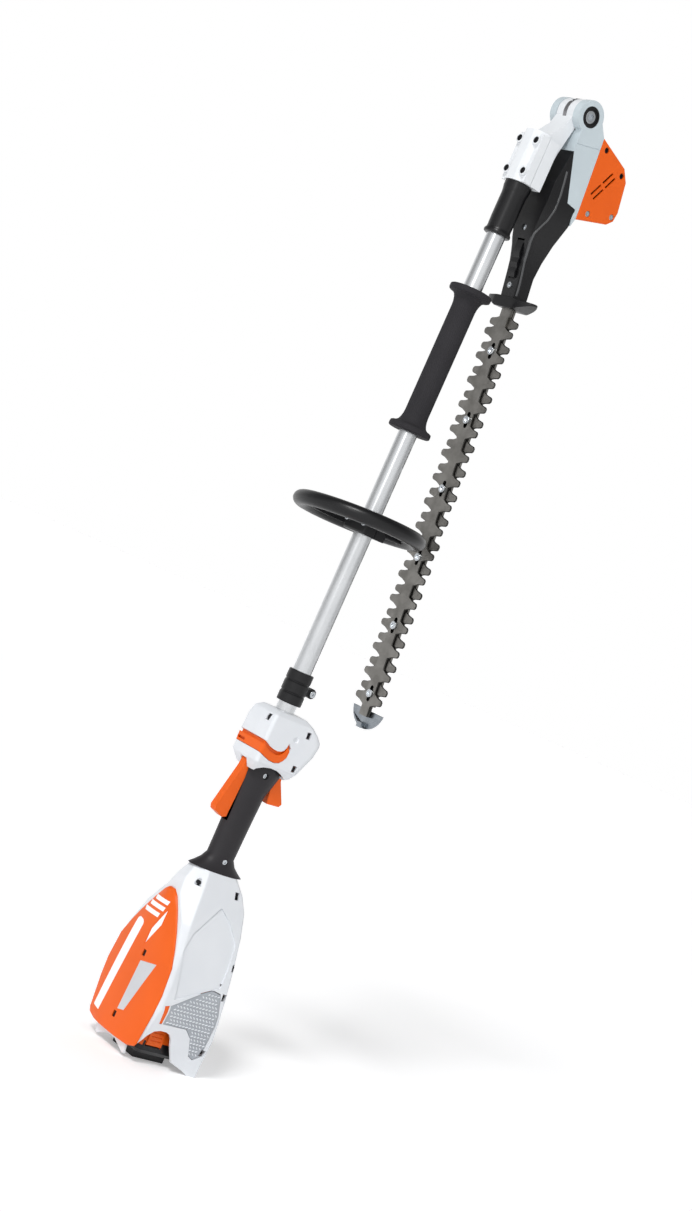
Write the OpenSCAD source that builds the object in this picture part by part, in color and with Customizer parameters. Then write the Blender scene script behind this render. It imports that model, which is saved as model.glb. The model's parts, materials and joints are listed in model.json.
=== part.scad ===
/* [Pole] */
// Outer diameter of the aluminium tube
tube_d = 24; // [23:0.5:25]
// Wall thickness of the tube
tube_wall = 2; // [1.5:0.5:3]
// Height of the loop handle above the base
loop_z = 700; // [640:10:740]
// Radius of the loop handle's centre line
loop_r = 76; // [70:1:84]
// Thickness of the loop handle's rim
loop_section = 20; // [16:1:22]
// Height of the lower end of the foam grip
grip_z = 822; // [780:2:840]
// Length of the foam grip with its two collars
grip_len = 189; // [150:1:200]

/* [Battery housing] */
// Half width of the battery housing
housing_half_w = 66; // [62:1:68]
// Wall thickness of the plastic shells
shell_wall = 3; // [2.5:0.5:3]
// Height of the arch that shows the battery latches
arch_h = 48; // [44:1:52]

/* [Cutting head] */
// Distance of the head's pivot in front of the pole axis
pivot_x = 39.5; // [39:0.5:41]
// Height of the head's pivot above the base
pivot_z = 1263; // [1262:1:1266]
// Angle between the folded blades and the pole
fold_lean = 5.8; // [5.6:0.1:6.4]
// Half width of the head across its fork
head_half_w = 27; // [27:0.5:28]
// Pitch of the blade teeth
tooth_pitch = 32; // [30:0.5:32]
// Teeth along one edge of a blade
tooth_count = 16; // [12:1:16]
// Reach of the teeth from the blade's centre line
tooth_reach = 27; // [24:1:28]
// Travel of each blade to either side of its middle
blade_stroke = 7.5; // [6:0.5:7.5]

/* [Hidden] */
$fn = 64;
eps = 0.01;
tube_r = tube_d / 2;
run_fit = 0.05;
tube_bottom = 412;
tube_top = 1214;
housing_top = 241;
handle_top = 374;
control_top = 452;
control_half_w = 28;
cover_thick = 4;
back_x = -48;
clamp_half_w = 21;
barrel_r = 20;
barrel_half_w = 15.2;
ear_inner_y = 15.6;
ear_r = 20.5;
bolt_r = 8;
bush_r = 13.2;
crank_z = -104;
motor_z = -74;
gear_module = 1;
gear_teeth = 48;
pinion_teeth = 12;
blade_thick = 2.6;
blade_gap = 0.2;
spine_half_w = 8.5;
bar_half_w = 9;
bar_x = 3.1;
bar_thick = 3;
eccentric_r = 8;
yoke_half_w = 20;
yoke_half_l = 28;
first_tooth_z = -268;
blade_offset = 13.6;
blade_end_z = -784;
bar_screw_z = -305;
bar_screw_pitch = 90;
bar_screws_n = 6;
lever_half_w = 5.6;
lever_gap = 0.6;
trigger_pivot = [25, 386];
lockout_pivot = [-22, 386];
screw_sink = 1.2;
screw_len = 6.8;
cover_screw_z = [33, 116];
side_screws = [[-29, 222], [30, 219], [45.5, 142], [44.5, 107.5], [54.5, 34]];
handle_screw_at = [[6, 366], [9, 256]];
control_screw_at = [[-12, 440], [42, 430], [32, 388]];
bracket_screw_z = [1165, 1205];
motor_screw_at = [[42, -27], [79, -47], [47, -107], [86, -98]];
casing_screw_z = [-150, -222];

function mirrored(pts) = concat(pts, [for (i = [len(pts) - 1 : -1 : 0]) [-pts[i][0], pts[i][1]]]);

// Outline in X and Z, pushed along Y from y0 to y1
module prism_y(pts, y0, y1)
    translate([0, y1, 0]) rotate([90, 0, 0]) linear_extrude(y1 - y0) polygon(pts);

// Outline in Y and Z, pushed along X from x0 to x1
module prism_x(pts, x0, x1)
    translate([x0, 0, 0]) rotate([90, 0, 90]) linear_extrude(x1 - x0) polygon(pts);

module rod_y(r, x, z, y0, y1)
    translate([x, y1, z]) rotate([90, 0, 0]) cylinder(r = r, h = y1 - y0);

module rod_x(r, y, z, x0, x1)
    translate([x0, y, z]) rotate([0, 90, 0]) cylinder(r = r, h = x1 - x0);

module block(low, high) translate(low) cube(high - low);

// Keeps the half on one side of the split plane Y = 0
module half(side)
    intersection() {
        children();
        block([-200, side < 0 ? -100 : 0, -1400], [300, side < 0 ? 0 : 100, 1400]);
    }

// Places the folded head, whose own frame has its origin on the pivot axis
module head() translate([pivot_x, 0, pivot_z]) rotate([0, -fold_lean, 0]) children();

// ---- Battery housing ----
housing_side = [[-36, 0], [-40, 0], [back_x, 22], [back_x, 206], [-40, 234], [-34, housing_top],
    [28, housing_top], [42, 224], [50, 205], [53, 172], [54, 140], [56, 100], [61, 50], [66, 0]];
housing_front = mirrored([[50, 0], [54, 26], [housing_half_w, 74], [housing_half_w, 106],
    [58, 144], [48, 176], [32, 214], [19, housing_top]]);

// The housing's outline from the front, shrunk by an inset and pushed right through
module front_profile(inset)
    translate([-80, 0, 0]) rotate([90, 0, 90]) linear_extrude(160)
        offset(delta = -inset) polygon(housing_front);

module housing_outer(inset, z_low)
    intersection() {
        translate([0, 80, 0]) rotate([90, 0, 0]) linear_extrude(160)
            offset(delta = -inset) polygon(housing_side);
        front_profile(inset);
        translate([0, 0, z_low]) linear_extrude(housing_top) hull() {
            for (x = [back_x + 14 + inset, 50 - inset], y = [-1, 1])
                translate([x, y * (housing_half_w - 16 - inset)]) circle(r = 16, $fn = 32);
        }
    }

module housing_shell(side)
    color([0.88, 0.90, 0.92]) difference() {
        half(side) difference() {
            housing_outer(0, 0);
            housing_outer(shell_wall, -1);
            block([-34, -46, -1], [47, 46, 20]);
        }
        // Arch over the battery latch
        rod_y(24, -20, arch_h - 24, side * 80 - 40, side * 80 + 40);
        block([-44, side < 0 ? -80 : 30, -1], [4, side < 0 ? -30 : 80, arch_h - 24]);
        // Window behind the intake grille
        prism_y(grille_outline(0), side < 0 ? -80 : 40, side < 0 ? -40 : 80);
        prism_y(tab_outline, side < 0 ? -80 : 40, side < 0 ? -40 : 80);
        for (p = side_screws) rod_y(3, p[0], p[1], -70, 70);
        for (z = cover_screw_z) rod_x(2.5, 0, z, back_x - 5, back_x + 12);
        // Throat into the handle
        block([-18, -9, 230], [20, 9, 250]);
    }

module housing_right() housing_shell(-1);
module housing_left() housing_shell(1);

// Side intake panel, a kinked strip low on the side face
function grille_outline(c) = [[8 + c, 76 - c], [40, 100 - c], [51 - c, 92], [55 - c, 30],
    [44, 18 + c], [34 + c, 26], [32 + c, 46], [26, 56 + c], [8 + c, 58 + c]];
tab_outline = [[2, 58], [7.6, 58], [7.6, 76], [4, 73]];

module intake_grilles() color([0.80, 0.82, 0.85])
    for (side = [-1, 1]) intersection() {
        difference() {
            housing_outer(0.8, 0);
            housing_outer(shell_wall, -1);
            block([-80, -44, -1], [80, 44, 260]);
            for (p = side_screws) rod_y(3, p[0], p[1], -70, 70);
        }
        prism_y(grille_outline(0), side < 0 ? -80 : 40, side < 0 ? -40 : 80);
    }

module grille_tabs() color([0.92, 0.45, 0.16])
    for (side = [-1, 1]) intersection() {
        difference() {
            housing_outer(0.4, 0);
            housing_outer(shell_wall, -1);
        }
        prism_y(tab_outline, side < 0 ? -80 : 40, side < 0 ? -40 : 80);
    }

cover_outline = mirrored([[44, 17], [52, 28], [63, 72], [63, 98], [52, 142], [36, 176],
    [22, 197], [10, 206]]);

module back_cover() color([0.93, 0.42, 0.13]) difference() {
    intersection() {
        translate([back_x - cover_thick, 0, 0]) rotate([90, 0, 90])
            linear_extrude(cover_thick) offset(r = 6) offset(delta = -6) polygon(cover_outline);
        translate([0, 0, 0]) linear_extrude(240) hull() {
            for (y = [-1, 1]) translate([back_x + 10, y * 51]) circle(r = 14, $fn = 48);
        }
    }
    for (z = cover_screw_z) {
        rod_x(2.5, 0, z, back_x - 9, back_x + 2);
        rod_x(4.5, 0, z, back_x - 9, back_x - 2);
    }
}

module cover_screws() color([0.16, 0.16, 0.17])
    for (z = cover_screw_z) difference() {
        union() {
            rod_x(4.4, 0, z, back_x - 3.6, back_x - 2);
            rod_x(2.5, 0, z, back_x - 2, back_x + 10);
        }
        rod_x(1.6, 0, z, back_x - 4, back_x - 2.4);
    }

module housing_screws() color([0.16, 0.16, 0.17])
    for (p = side_screws, side = [-1, 1]) intersection() {
        rod_y(3, p[0], p[1], side < 0 ? -housing_half_w : 1, side < 0 ? -1 : housing_half_w);
        difference() {
            front_profile(screw_sink);
            front_profile(screw_sink + screw_len);
        }
    }

module battery_contacts() color([0.20, 0.20, 0.22]) union() {
    block([-24, -24, 152], [34, 24, 158]);
    for (y = [-14, -5, 5, 14]) block([0, y - 1, 148.6], [18, y + 1, 152]);
}

module control_board() color([0.13, 0.38, 0.22]) union() {
    block([-26, 10, 164], [28, 11.6, 224]);
    for (z = [176, 196, 214]) block([-18, 11.6, z - 5], [-4, 18, z + 5]);
    for (z = [180, 206]) rod_y(5, 14, z, 11.6, 22);
}

// ---- Battery ----
module battery_case() color([0.93, 0.42, 0.13]) difference() {
    translate([6, 0, 22]) linear_extrude(126) hull() {
        for (x = [-1, 1], y = [-1, 1]) translate([x * 28, y * 34]) circle(r = 8, $fn = 32);
    }
    translate([6, 0, 26]) linear_extrude(118) square([66, 78], center = true);
    for (side = [-1, 1]) block([-22, side < 0 ? -50 : 36, 21], [2, side < 0 ? -36 : 50, 60]);
    for (y = [-14, -5, 5, 14]) block([-1, y - 1.5, 140], [19, y + 1.5, 150]);
}

module battery_base() color([0.10, 0.10, 0.11]) union() {
    translate([6, 0, 6]) linear_extrude(16) hull() {
        for (x = [-1, 1], y = [-1, 1]) translate([x * 28, y * 34]) circle(r = 8, $fn = 32);
    }
    // Foot pad that reaches the floor
    block([-18, -24, 0], [30, 24, 6 + eps]);
}

module battery_cells() color([0.25, 0.45, 0.65])
    for (x = [-12, 12], y = [-25, 0, 25], z = [28, 96])
        translate([x + 6, y, z]) cylinder(r = 10, h = z < 50 ? 66 : 42);

// Paddle latch on the battery's side, hinged at its upper edge
module battery_latch(side) color([0.95, 0.48, 0.16]) difference() {
    union() {
        rod_x(2.5, side * 38.6, 56.5, -21.5, 1.5);
        block([-21.5, side < 0 ? -44 : 40, 24], [1.5, side < 0 ? -40 : 44, 54]);
        block([-21.5, side < 0 ? -44 : 37, 52], [1.5, side < 0 ? -37 : 44, 57]);
    }
    for (z = [30 : 5 : 46]) block([-18, side < 0 ? -45 : 43.2, z], [-2, side < 0 ? -43.2 : 45, z + 2]);
}
module battery_latch_right() battery_latch(-1);
module battery_latch_left() battery_latch(1);

// ---- Control handle ----
// Cut across the handle: centre X, half depth, half width, height
handle_cuts = [[1, 40, 19, housing_top], [0, 19, 15, 260], [0.5, 20, 15.5, 310],
    [1, 21, 16, 345], [6, 28, 17, handle_top]];

// Closed skin through a stack of ellipses, each with n corners
function ellipse_ring(c, inset, n) = [for (k = [0 : n - 1])
    [c[0] + (c[1] - inset) * cos((k + 0.5) * 360 / n), (c[2] - inset) * sin((k + 0.5) * 360 / n),
     c[3]]];

module handle_shape(cuts, inset, n = 40) polyhedron(
    points = [for (c = cuts) each ellipse_ring(c, inset, n)],
    faces = concat([[for (k = [0 : n - 1]) k]],
        [for (i = [0 : len(cuts) - 2], k = [0 : n - 1])
            [i * n + k, (i + 1) * n + k, (i + 1) * n + (k + 1) % n, i * n + (k + 1) % n]],
        [[for (k = [n - 1 : -1 : 0]) (len(cuts) - 1) * n + k]]));

// The bore through the handle, longer than the handle at both ends
handle_bore = [[0, 15, 12, 230], [0, 15, 12, 380]];

module handle_shell(side)
    color([0.20, 0.19, 0.21]) difference() {
        half(side) handle_shape(handle_cuts, 0);
        handle_shape(handle_bore, 0);
        block([-60, -lever_half_w - lever_gap, 300], [-6, lever_half_w + lever_gap, 380]);
        block([11, -8.8, 330], [60, 8.8, 380]);
        for (p = handle_screw_at) rod_y(3, p[0], p[1], -30, 30);
    }
module handle_right() handle_shell(-1);
module handle_left() handle_shell(1);

module handle_screws() color([0.78, 0.79, 0.80])
    for (p = handle_screw_at, side = [-1, 1]) difference() {
        rod_y(3, p[0], p[1], side < 0 ? -15 : 11.4, side < 0 ? -11.4 : 15);
        rod_y(1.5, p[0], p[1], side < 0 ? -16 : 13.6, side < 0 ? -13.6 : 16);
    }

// ---- Control housing ----
control_side = [[-24, handle_top], [-31, 386], [-32, 410], [-28, 446], [-20, control_top],
    [30, control_top], [44, 445], [57, 429], [55, 412], [36, 377], [30, handle_top]];
control_front = mirrored([[19, handle_top], [control_half_w, 386], [control_half_w, 434],
    [19, control_top]]);
latch_lower = [[-36, 394], [-22, 391], [-10, 390.6], [-1, 392], [6, 396], [10.6, 402], [10.6, 414]];
latch_upper = [[5, 414], [3.6, 407], [-1, 402.6], [-6, 401], [-16, 404], [-36, 411]];
latch_travel = 4;
latch_slot = concat([for (p = latch_lower)
        [p[0] + (p[0] > 9 ? 0.6 : 0), p[1] - 0.6 + (p[1] > 413 ? latch_travel + 1.2 : 0)]],
    [for (p = latch_upper) [p[0] - (p[0] > 2 ? 0.6 : 0), p[1] + latch_travel + 0.6]]);

module control_solid(inset)
    intersection() {
        translate([0, 40, 0]) rotate([90, 0, 0]) linear_extrude(80)
            offset(delta = -inset) polygon(control_side);
        translate([-60, 0, 0]) rotate([90, 0, 90]) linear_extrude(140)
            offset(delta = -inset) polygon(control_front);
    }

module control_shell(side)
    color([0.88, 0.90, 0.92]) difference() {
        half(side) union() {
            difference() {
                control_solid(0);
                control_solid(shell_wall);
            }
            // Seats for the tube and the lever pins
            intersection() {
                control_solid(1);
                union() {
                    difference() {
                        block([-26, -26, 414], [28, 26, 424]);
                        block([-20, -22, 413], [-15, 22, 425]);
                    }
                    for (p = [trigger_pivot, lockout_pivot], s = [-1, 1])
                        rod_y(6, p[0], p[1], s < 0 ? -27 : 9.4, s < 0 ? -9.4 : 27);
                }
            }
        }
        cylinder(r = tube_r, h = 500);
        for (p = [trigger_pivot, lockout_pivot]) rod_y(2.5 + run_fit, p[0], p[1], -13, 13);
        for (y = [-29, 24.6]) prism_y(latch_slot, y, y + 4.4);
        block([-29.5, -lever_half_w - lever_gap, 370], [-12, lever_half_w + lever_gap, 398]);
        block([14, -8.8, 370], [42, 8.8, 398]);
        block([-12, -9, 370], [14, 9, 380]);
        for (p = control_screw_at, y = [-30, 19]) rod_y(3, p[0], p[1], y, y + 11);
    }
module control_housing_right() control_shell(-1);
module control_housing_left() control_shell(1);

module control_screws() color([0.16, 0.16, 0.17])
    for (p = control_screw_at, side = [-1, 1]) intersection() {
        rod_y(3, p[0], p[1], side < 0 ? -30 : 19, side < 0 ? -19 : 30);
        difference() {
            control_solid(1.2);
            rod_y(2, p[0], p[1], -60, side < 0 ? -26 : -59);
        }
    }

module retaining_latch() color([0.94, 0.42, 0.12])
    intersection() {
        prism_y(concat(latch_lower, latch_upper), -29, 29);
        union() {
            block([-37, -29, 380], [-32.6, 29, 420]);
            for (y = [-29, 25.4]) block([-37, y, 380], [20, y + 3.6, 420]);
        }
    }

module trigger() color([0.90, 0.42, 0.14]) union() {
    prism_y([[20, 389], [30, 389], [31, 380], [33.5, 370], [49, 344], [46, 340], [27, 339],
        [24, 352], [20, 372]], -8, 8);
    rod_y(2.5, trigger_pivot[0], trigger_pivot[1], -12, 12);
}

module lockout_lever() color([0.93, 0.44, 0.14]) union() {
    prism_y([[-26, 390], [-18, 390], [-18, 372], [-21, 308], [-27, 306], [-40, 311],
        [-42, 316], [-28, 372]], -lever_half_w, lever_half_w);
    rod_y(2.5, lockout_pivot[0], lockout_pivot[1], -12, 12);
}

module trigger_switch() color([0.18, 0.18, 0.20]) union() {
    block([-9, 9.6, 384], [11, 22, 408]);
    block([0, 12, 381], [6, 18, 384]);
}

module motor_cable() color([0.12, 0.12, 0.13])
    translate([0, 0, 166]) cylinder(r = 3, h = 1040);

// ---- Pole ----
module shaft_tube() color([0.75, 0.77, 0.79])
    translate([0, 0, tube_bottom]) difference() {
        cylinder(r = tube_r, h = tube_top - tube_bottom);
        translate([0, 0, -1]) cylinder(r = tube_r - tube_wall, h = tube_top - tube_bottom + 2);
    }

strap_z = 463;
strap_len = 41;
ear_at = [24, strap_z + strap_len / 2];

module strap_clamp() color([0.15, 0.15, 0.16]) difference() {
    union() {
        rotate_extrude() polygon([[tube_r, strap_z], [16, strap_z], [16, strap_z + 12],
            [15, strap_z + 13.2], [16, strap_z + 14.4], [16, strap_z + 26.6],
            [15, strap_z + 27.8], [16, strap_z + 29], [16, strap_z + strap_len],
            [tube_r, strap_z + strap_len]]);
        difference() {
            union() {
                block([13, -5.5, ear_at[1] - 5], [ear_at[0], 5.5, ear_at[1] + 5]);
                rod_y(6.4, ear_at[0], ear_at[1], -5.5, 5.5);
            }
            translate([0, 0, strap_z]) cylinder(r = 14, h = strap_len);
        }
    }
    rod_y(2.6, ear_at[0], ear_at[1], -10, 10);
    block([13, -0.8, strap_z - 1], [40, 0.8, strap_z + strap_len + 1]);
}

module strap_clamp_screw() color([0.78, 0.79, 0.80]) difference() {
    union() {
        rod_y(2.5, ear_at[0], ear_at[1], -5.5, 7.5);
        rod_y(4.4, ear_at[0], ear_at[1], -8, -5.5);
    }
    rod_y(1.8, ear_at[0], ear_at[1], -9, -6.4);
}

loop_x = -14;
loop_tilt = -4;
hub_h = 28;

module loop_handle() color([0.13, 0.13, 0.14]) difference() {
    union() {
        translate([loop_x, 0, loop_z]) rotate([loop_tilt, 0, 0])
            rotate_extrude($fn = 96) translate([loop_r, 0]) circle(r = loop_section / 2, $fn = 32);
        block([0.5, -22, loop_z - hub_h / 2], [18, 22, loop_z + hub_h / 2]);
        block([16, -9, loop_z - 7], [56, 9, loop_z + 7]);
    }
    cylinder(r = tube_r, h = 900);
    for (y = [-17, 17]) rod_x(2.5, y, loop_z, -1, 14);
}

module loop_clamp_cap() color([0.15, 0.15, 0.16]) difference() {
    block([-18, -22, loop_z - hub_h / 2], [-0.5, 22, loop_z + hub_h / 2]);
    cylinder(r = tube_r, h = 900);
    for (y = [-17, 17]) rod_x(2.6, y, loop_z, -20, 1);
}

module loop_screws() color([0.78, 0.79, 0.80])
    for (y = [-17, 17]) difference() {
        union() {
            rod_x(4.6, y, loop_z, -21, -18);
            rod_x(2.5, y, loop_z, -18, 13);
        }
        rod_x(2, y, loop_z, -22, -19.4);
    }

grip_flange_r = 27;
grip_body_r = 15.4;

module grip_hose() color([0.22, 0.22, 0.24]) rotate_extrude() polygon(concat(
    [[tube_r, grip_z], [grip_flange_r - 3, grip_z], [grip_flange_r, grip_z + 3],
     [grip_flange_r, grip_z + 7]],
    [for (i = [1 : 5]) [grip_body_r + 9 * pow(1 - i / 5, 2), grip_z + 7 + i * 3]],
    [for (i = [5 : -1 : 1])
        [grip_body_r + 9 * pow(1 - i / 5, 2), grip_z + grip_len - 7 - i * 3]],
    [[grip_flange_r, grip_z + grip_len - 7], [grip_flange_r, grip_z + grip_len - 3],
     [grip_flange_r - 3, grip_z + grip_len], [tube_r, grip_z + grip_len]]));

sleeve_z = 1084;
bracket_z = 1152;

module joint_sleeve() color([0.15, 0.15, 0.16]) rotate_extrude() polygon([
    [tube_r, sleeve_z], [15.6, sleeve_z], [16.4, sleeve_z + 2], [16.4, sleeve_z + 5],
    [15, sleeve_z + 7], [15.6, bracket_z - 14], [17, bracket_z - 8], [17, bracket_z],
    [tube_r, bracket_z]]);

// ---- Pivot bracket ----
arm_outline = [[0.5, 1176], [20, 1176], [24, 1206], [30, 1234], [pivot_x - 6, 1248],
    [pivot_x - 12, pivot_z + 12], [17, 1241], [2, 1222], [0.5, 1215]];

module bracket_body() color([0.88, 0.90, 0.92]) difference() {
    union() {
        block([0.5, -clamp_half_w, bracket_z], [18, clamp_half_w, 1214]);
        prism_y(arm_outline, -barrel_half_w, barrel_half_w);
        rod_y(barrel_r, pivot_x, pivot_z, -barrel_half_w, barrel_half_w);
    }
    translate([0, 0, 1100]) cylinder(r = tube_r, h = tube_top - 1100);
    rod_y(bolt_r, pivot_x, pivot_z, -20, 20);
    rod_y(20.8, pivot_x, pivot_z, -3, 3);
    for (y = [-15.5, 15.5], z = bracket_screw_z) rod_x(2.5, y, z, 0, 15);
}

module bracket_cap() color([0.90, 0.92, 0.94]) difference() {
    intersection() {
        block([-18, -clamp_half_w, bracket_z], [-0.2, clamp_half_w, 1218]);
        union() {
            translate([0, 0, bracket_z]) cylinder(r = 19, h = 66);
            for (z = bracket_screw_z, s = [-1, 1]) rod_x(6, s * 15, z, -16, 0);
            block([-12, -clamp_half_w, bracket_z], [0, clamp_half_w, 1214]);
        }
    }
    translate([0, 0, 1100]) cylinder(r = tube_r, h = tube_top - 1100);
    for (y = [-15.5, 15.5], z = bracket_screw_z) {
        rod_x(2.5, y, z, -20, 1);
        rod_x(4.2, y, z, -20, -13);
    }
}

module bracket_screws() color([0.14, 0.14, 0.15])
    for (y = [-15.5, 15.5], z = bracket_screw_z) difference() {
        union() {
            rod_x(4.1, y, z, -15, -13);
            rod_x(2.5, y, z, -13, 14);
        }
        block([-16, y - 0.7, z - 3], [-14, y + 0.7, z + 3]);
    }

module pivot_bolt() color([0.62, 0.64, 0.66]) difference() {
    rod_y(bolt_r, pivot_x, pivot_z, -26, 26);
    translate([pivot_x, -22, pivot_z]) rotate([90, 0, 0]) cylinder(r = 4.6, h = 5, $fn = 6);
    translate([pivot_x, 27, pivot_z]) rotate([90, 0, 0]) cylinder(r = 4.6, h = 5, $fn = 6);
}

module detent_disc() color([0.45, 0.46, 0.48]) difference() {
    rod_y(20.4, pivot_x, pivot_z, -2.9, 2.9);
    rod_y(bolt_r, pivot_x, pivot_z, -4, 4);
    for (a = [0 : 15 : 225]) translate([pivot_x, 0, pivot_z]) rotate([0, -fold_lean - a, 0])
        block([-2, -4, -22], [2, 4, -17]);
}

// ---- Head ----
gear_outline = [[-8, -2], [-8, -46], [10, -106], [25, -109], [31, -112], [31, -16], [20, 0]];
black_outline = [[-8, -46], [10, -106], [25, -109.2], [26, -131], [19, -160], [15, -185],
    [12, -206], [14, -236], [-9, -236], [-12, -206], [-14, -185], [-19, -160], [-22, -133],
    [-20, -90]];
inner_outline = [[-8, -46], [-13, -90], [-14, -133], [-12, -160], [-9, -185], [-8, -206],
    [-6.4, -236], [-40, -236], [-40, -46]];
head_front = mirrored([[head_half_w, 40], [head_half_w, -112], [24.5, -133], [18, -160],
    [13.4, -185], [12.4, -206], [12, -236]]);

// Room for the gears, the eccentrics and the blade yokes
module gear_room() {
    rod_x(25.8, 0, crank_z, 5, 14.5);
    rod_x(8.2, 0, motor_z, 4.4, 14.5);
    rod_x(4.4, 0, motor_z, 14, 32);
    rod_x(9, 0, motor_z, 23, 32);
    rod_x(11, 0, crank_z, -12, -5.6);
    rod_x(11, 0, crank_z, 16.5, 22.5);
    rod_x(6.4, 0, crank_z, -12.4, 23);
    rod_x(16.2, 0, crank_z, -5.6, 5);
    block([-3.3, -yoke_half_w - 0.6, crank_z - 36.4], [3.3, yoke_half_w + 0.6, crank_z + 36.4]);
    block([-3.3, -spine_half_w - 0.5, -240], [bar_x, spine_half_w + 0.5, crank_z]);
    block([bar_x - 0.1, -bar_half_w, -240], [bar_x + bar_thick, bar_half_w, -150]);
}

module gear_housing() color([0.76, 0.79, 0.82]) head() difference() {
    union() {
        prism_y(gear_outline, -head_half_w, head_half_w);
        rod_y(ear_r, 0, 0, -head_half_w, head_half_w);
    }
    rod_y(21.6, 0, 0, -ear_inner_y, ear_inner_y);
    block([-30, -ear_inner_y, -20], [32, ear_inner_y, 30]);
    rod_y(bush_r, 0, 0, -40, 40);
    gear_room();
    block([-3.3, -3.1, -62], [3.3, 3.1, -10]);
}

module casing_solid()
    intersection() {
        prism_y(black_outline, -40, 40);
        prism_x(head_front, -60, 60);
    }

module casing_outer() color([0.11, 0.11, 0.12]) head() difference() {
    casing_solid();
    prism_y(inner_outline, -40, 40);
    gear_room();
    for (z = casing_screw_z) rod_x(2, 0, z, -20, -4.2);
}

module casing_inner() color([0.14, 0.14, 0.15]) head() difference() {
    intersection() {
        casing_solid();
        prism_y(inner_outline, -40, 40);
    }
    for (z = casing_screw_z) {
        rod_x(2, 0, z, -30, 0);
        rod_x(4, 0, z, -30, z > -200 ? -16 : -9.2);
    }
    rod_x(11, 0, crank_z, -12, -5.6);
    rod_x(6.4, 0, crank_z, -12.4, 0);
    // Bay for the release lever
    block([-26, -6.4, -214], [-10.4, 6.4, -164]);
}

module casing_screws() color([0.78, 0.79, 0.80]) head()
    for (z = casing_screw_z) difference() {
        union() {
            rod_x(3.8, 0, z, z > -200 ? -18.4 : -11.6, z > -200 ? -16 : -9.2);
            rod_x(2, 0, z, z > -200 ? -16 : -9.2, -4.3);
        }
        rod_x(1.6, 0, z, -30, z > -200 ? -17.4 : -10.6);
    }

motor_outline = [[31.2, -15], [80, -37], [90, -52], [94, -90], [91, -102], [82, -109],
    [34, -119], [31.2, -118]];

module motor_solid(inset)
    translate([0, head_half_w - inset, 0]) rotate([90, 0, 0])
        linear_extrude(2 * (head_half_w - inset)) offset(delta = -inset) polygon(motor_outline);

// Two rows of slanted vent slots, each broken in two
module vent_slots(y0, y1)
    for (row = [0, 1], k = [0, 1])
        translate([41 + row * 6 + k * 12.5, y0, -84 + k * 19 - row * 4])
            rotate([0, -57, 0]) block([0, 0, -0.9], [19, y1 - y0, 0.9]);

module motor_cover(side) color([0.93, 0.42, 0.13]) head() difference() {
    half(side) union() {
        difference() {
            motor_solid(0);
            motor_solid(2.4);
            block([30, -20, -112], [35, 20, -30]);
        }
        intersection() {
            motor_solid(1);
            for (p = motor_screw_at) rod_y(5, p[0], p[1], -26, 26);
        }
    }
    for (p = motor_screw_at) {
        rod_y(2, p[0], p[1], -40, 40);
        rod_y(4, p[0], p[1], -40, -head_half_w + 2.2);
    }
    if (side < 0) vent_slots(-head_half_w - 1, -head_half_w + 3);
    else vent_slots(head_half_w - 3, head_half_w + 1);
    rod_x(8, 0, motor_z, 76, 82);
}
module motor_cover_right() motor_cover(-1);
module motor_cover_left() motor_cover(1);

module motor_cover_screws() color([0.55, 0.57, 0.60]) head()
    for (p = motor_screw_at) difference() {
        union() {
            rod_y(3.9, p[0], p[1], -head_half_w + 0.2, -head_half_w + 2.2);
            rod_y(2, p[0], p[1], -head_half_w + 2.2, 20);
        }
        rod_y(1.6, p[0], p[1], -head_half_w - 1, -head_half_w + 1.4);
    }

module motor_stator() color([0.70, 0.45, 0.22]) head() difference() {
    rod_x(22.4, 0, motor_z, 42, 72);
    rod_x(14, 0, motor_z, 41, 73);
    for (a = [0 : 40 : 320]) translate([0, 0, motor_z]) rotate([a, 0, 0])
        block([41, -1.2, 12], [73, 1.2, 20]);
}

module bearing_ring(r_out, r_in, z, x0, x1)
    difference() {
        rod_x(r_out, 0, z, x0, x1);
        rod_x(r_in + run_fit, 0, z, x0 - 1, x1 + 1);
    }

module drive_bearings() color([0.60, 0.62, 0.64]) head() {
    bearing_ring(11, 5, crank_z, -12, -5.8);
    bearing_ring(11, 5, crank_z, 16.5, 22.5);
    bearing_ring(9, 3.5, motor_z, 23, 31);
    bearing_ring(8, 3.5, motor_z, 76, 82);
}

module pivot_bushes() color([0.08, 0.08, 0.09]) head()
    for (side = [-1, 1]) difference() {
        rod_y(bush_r, 0, 0, side < 0 ? -27.4 : ear_inner_y, side < 0 ? -ear_inner_y : 27.4);
        rod_y(bolt_r + run_fit, 0, 0, -40, 40);
    }

module hand_guard() color([0.12, 0.12, 0.13]) head() difference() {
    intersection() {
        prism_x(mirrored([[13, -236], [30, -237], [45, -236.5], [46, -238], [32, -244],
            [16, -250]]), -12, 18);
        translate([14, 0, -255]) cylinder(r = 49.5, h = 30);
        translate([-8, 0, -255]) linear_extrude(30) square([60, 100], center = true);
    }
    block([-3.3, -spine_half_w - 0.5, -260], [bar_x, spine_half_w + 0.5, -230]);
    block([bar_x - 0.1, -bar_half_w, -260], [bar_x + bar_thick, bar_half_w, -230]);
}

// ---- Blades ----
module blade_bar() color([0.40, 0.40, 0.39]) head() difference() {
    block([bar_x, -bar_half_w, -770], [bar_x + bar_thick, bar_half_w, -150]);
    for (i = [0 : bar_screws_n - 1])
        rod_x(2.5, 0, bar_screw_z - i * bar_screw_pitch, bar_x - 1, bar_x + bar_thick + 1);
}

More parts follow.
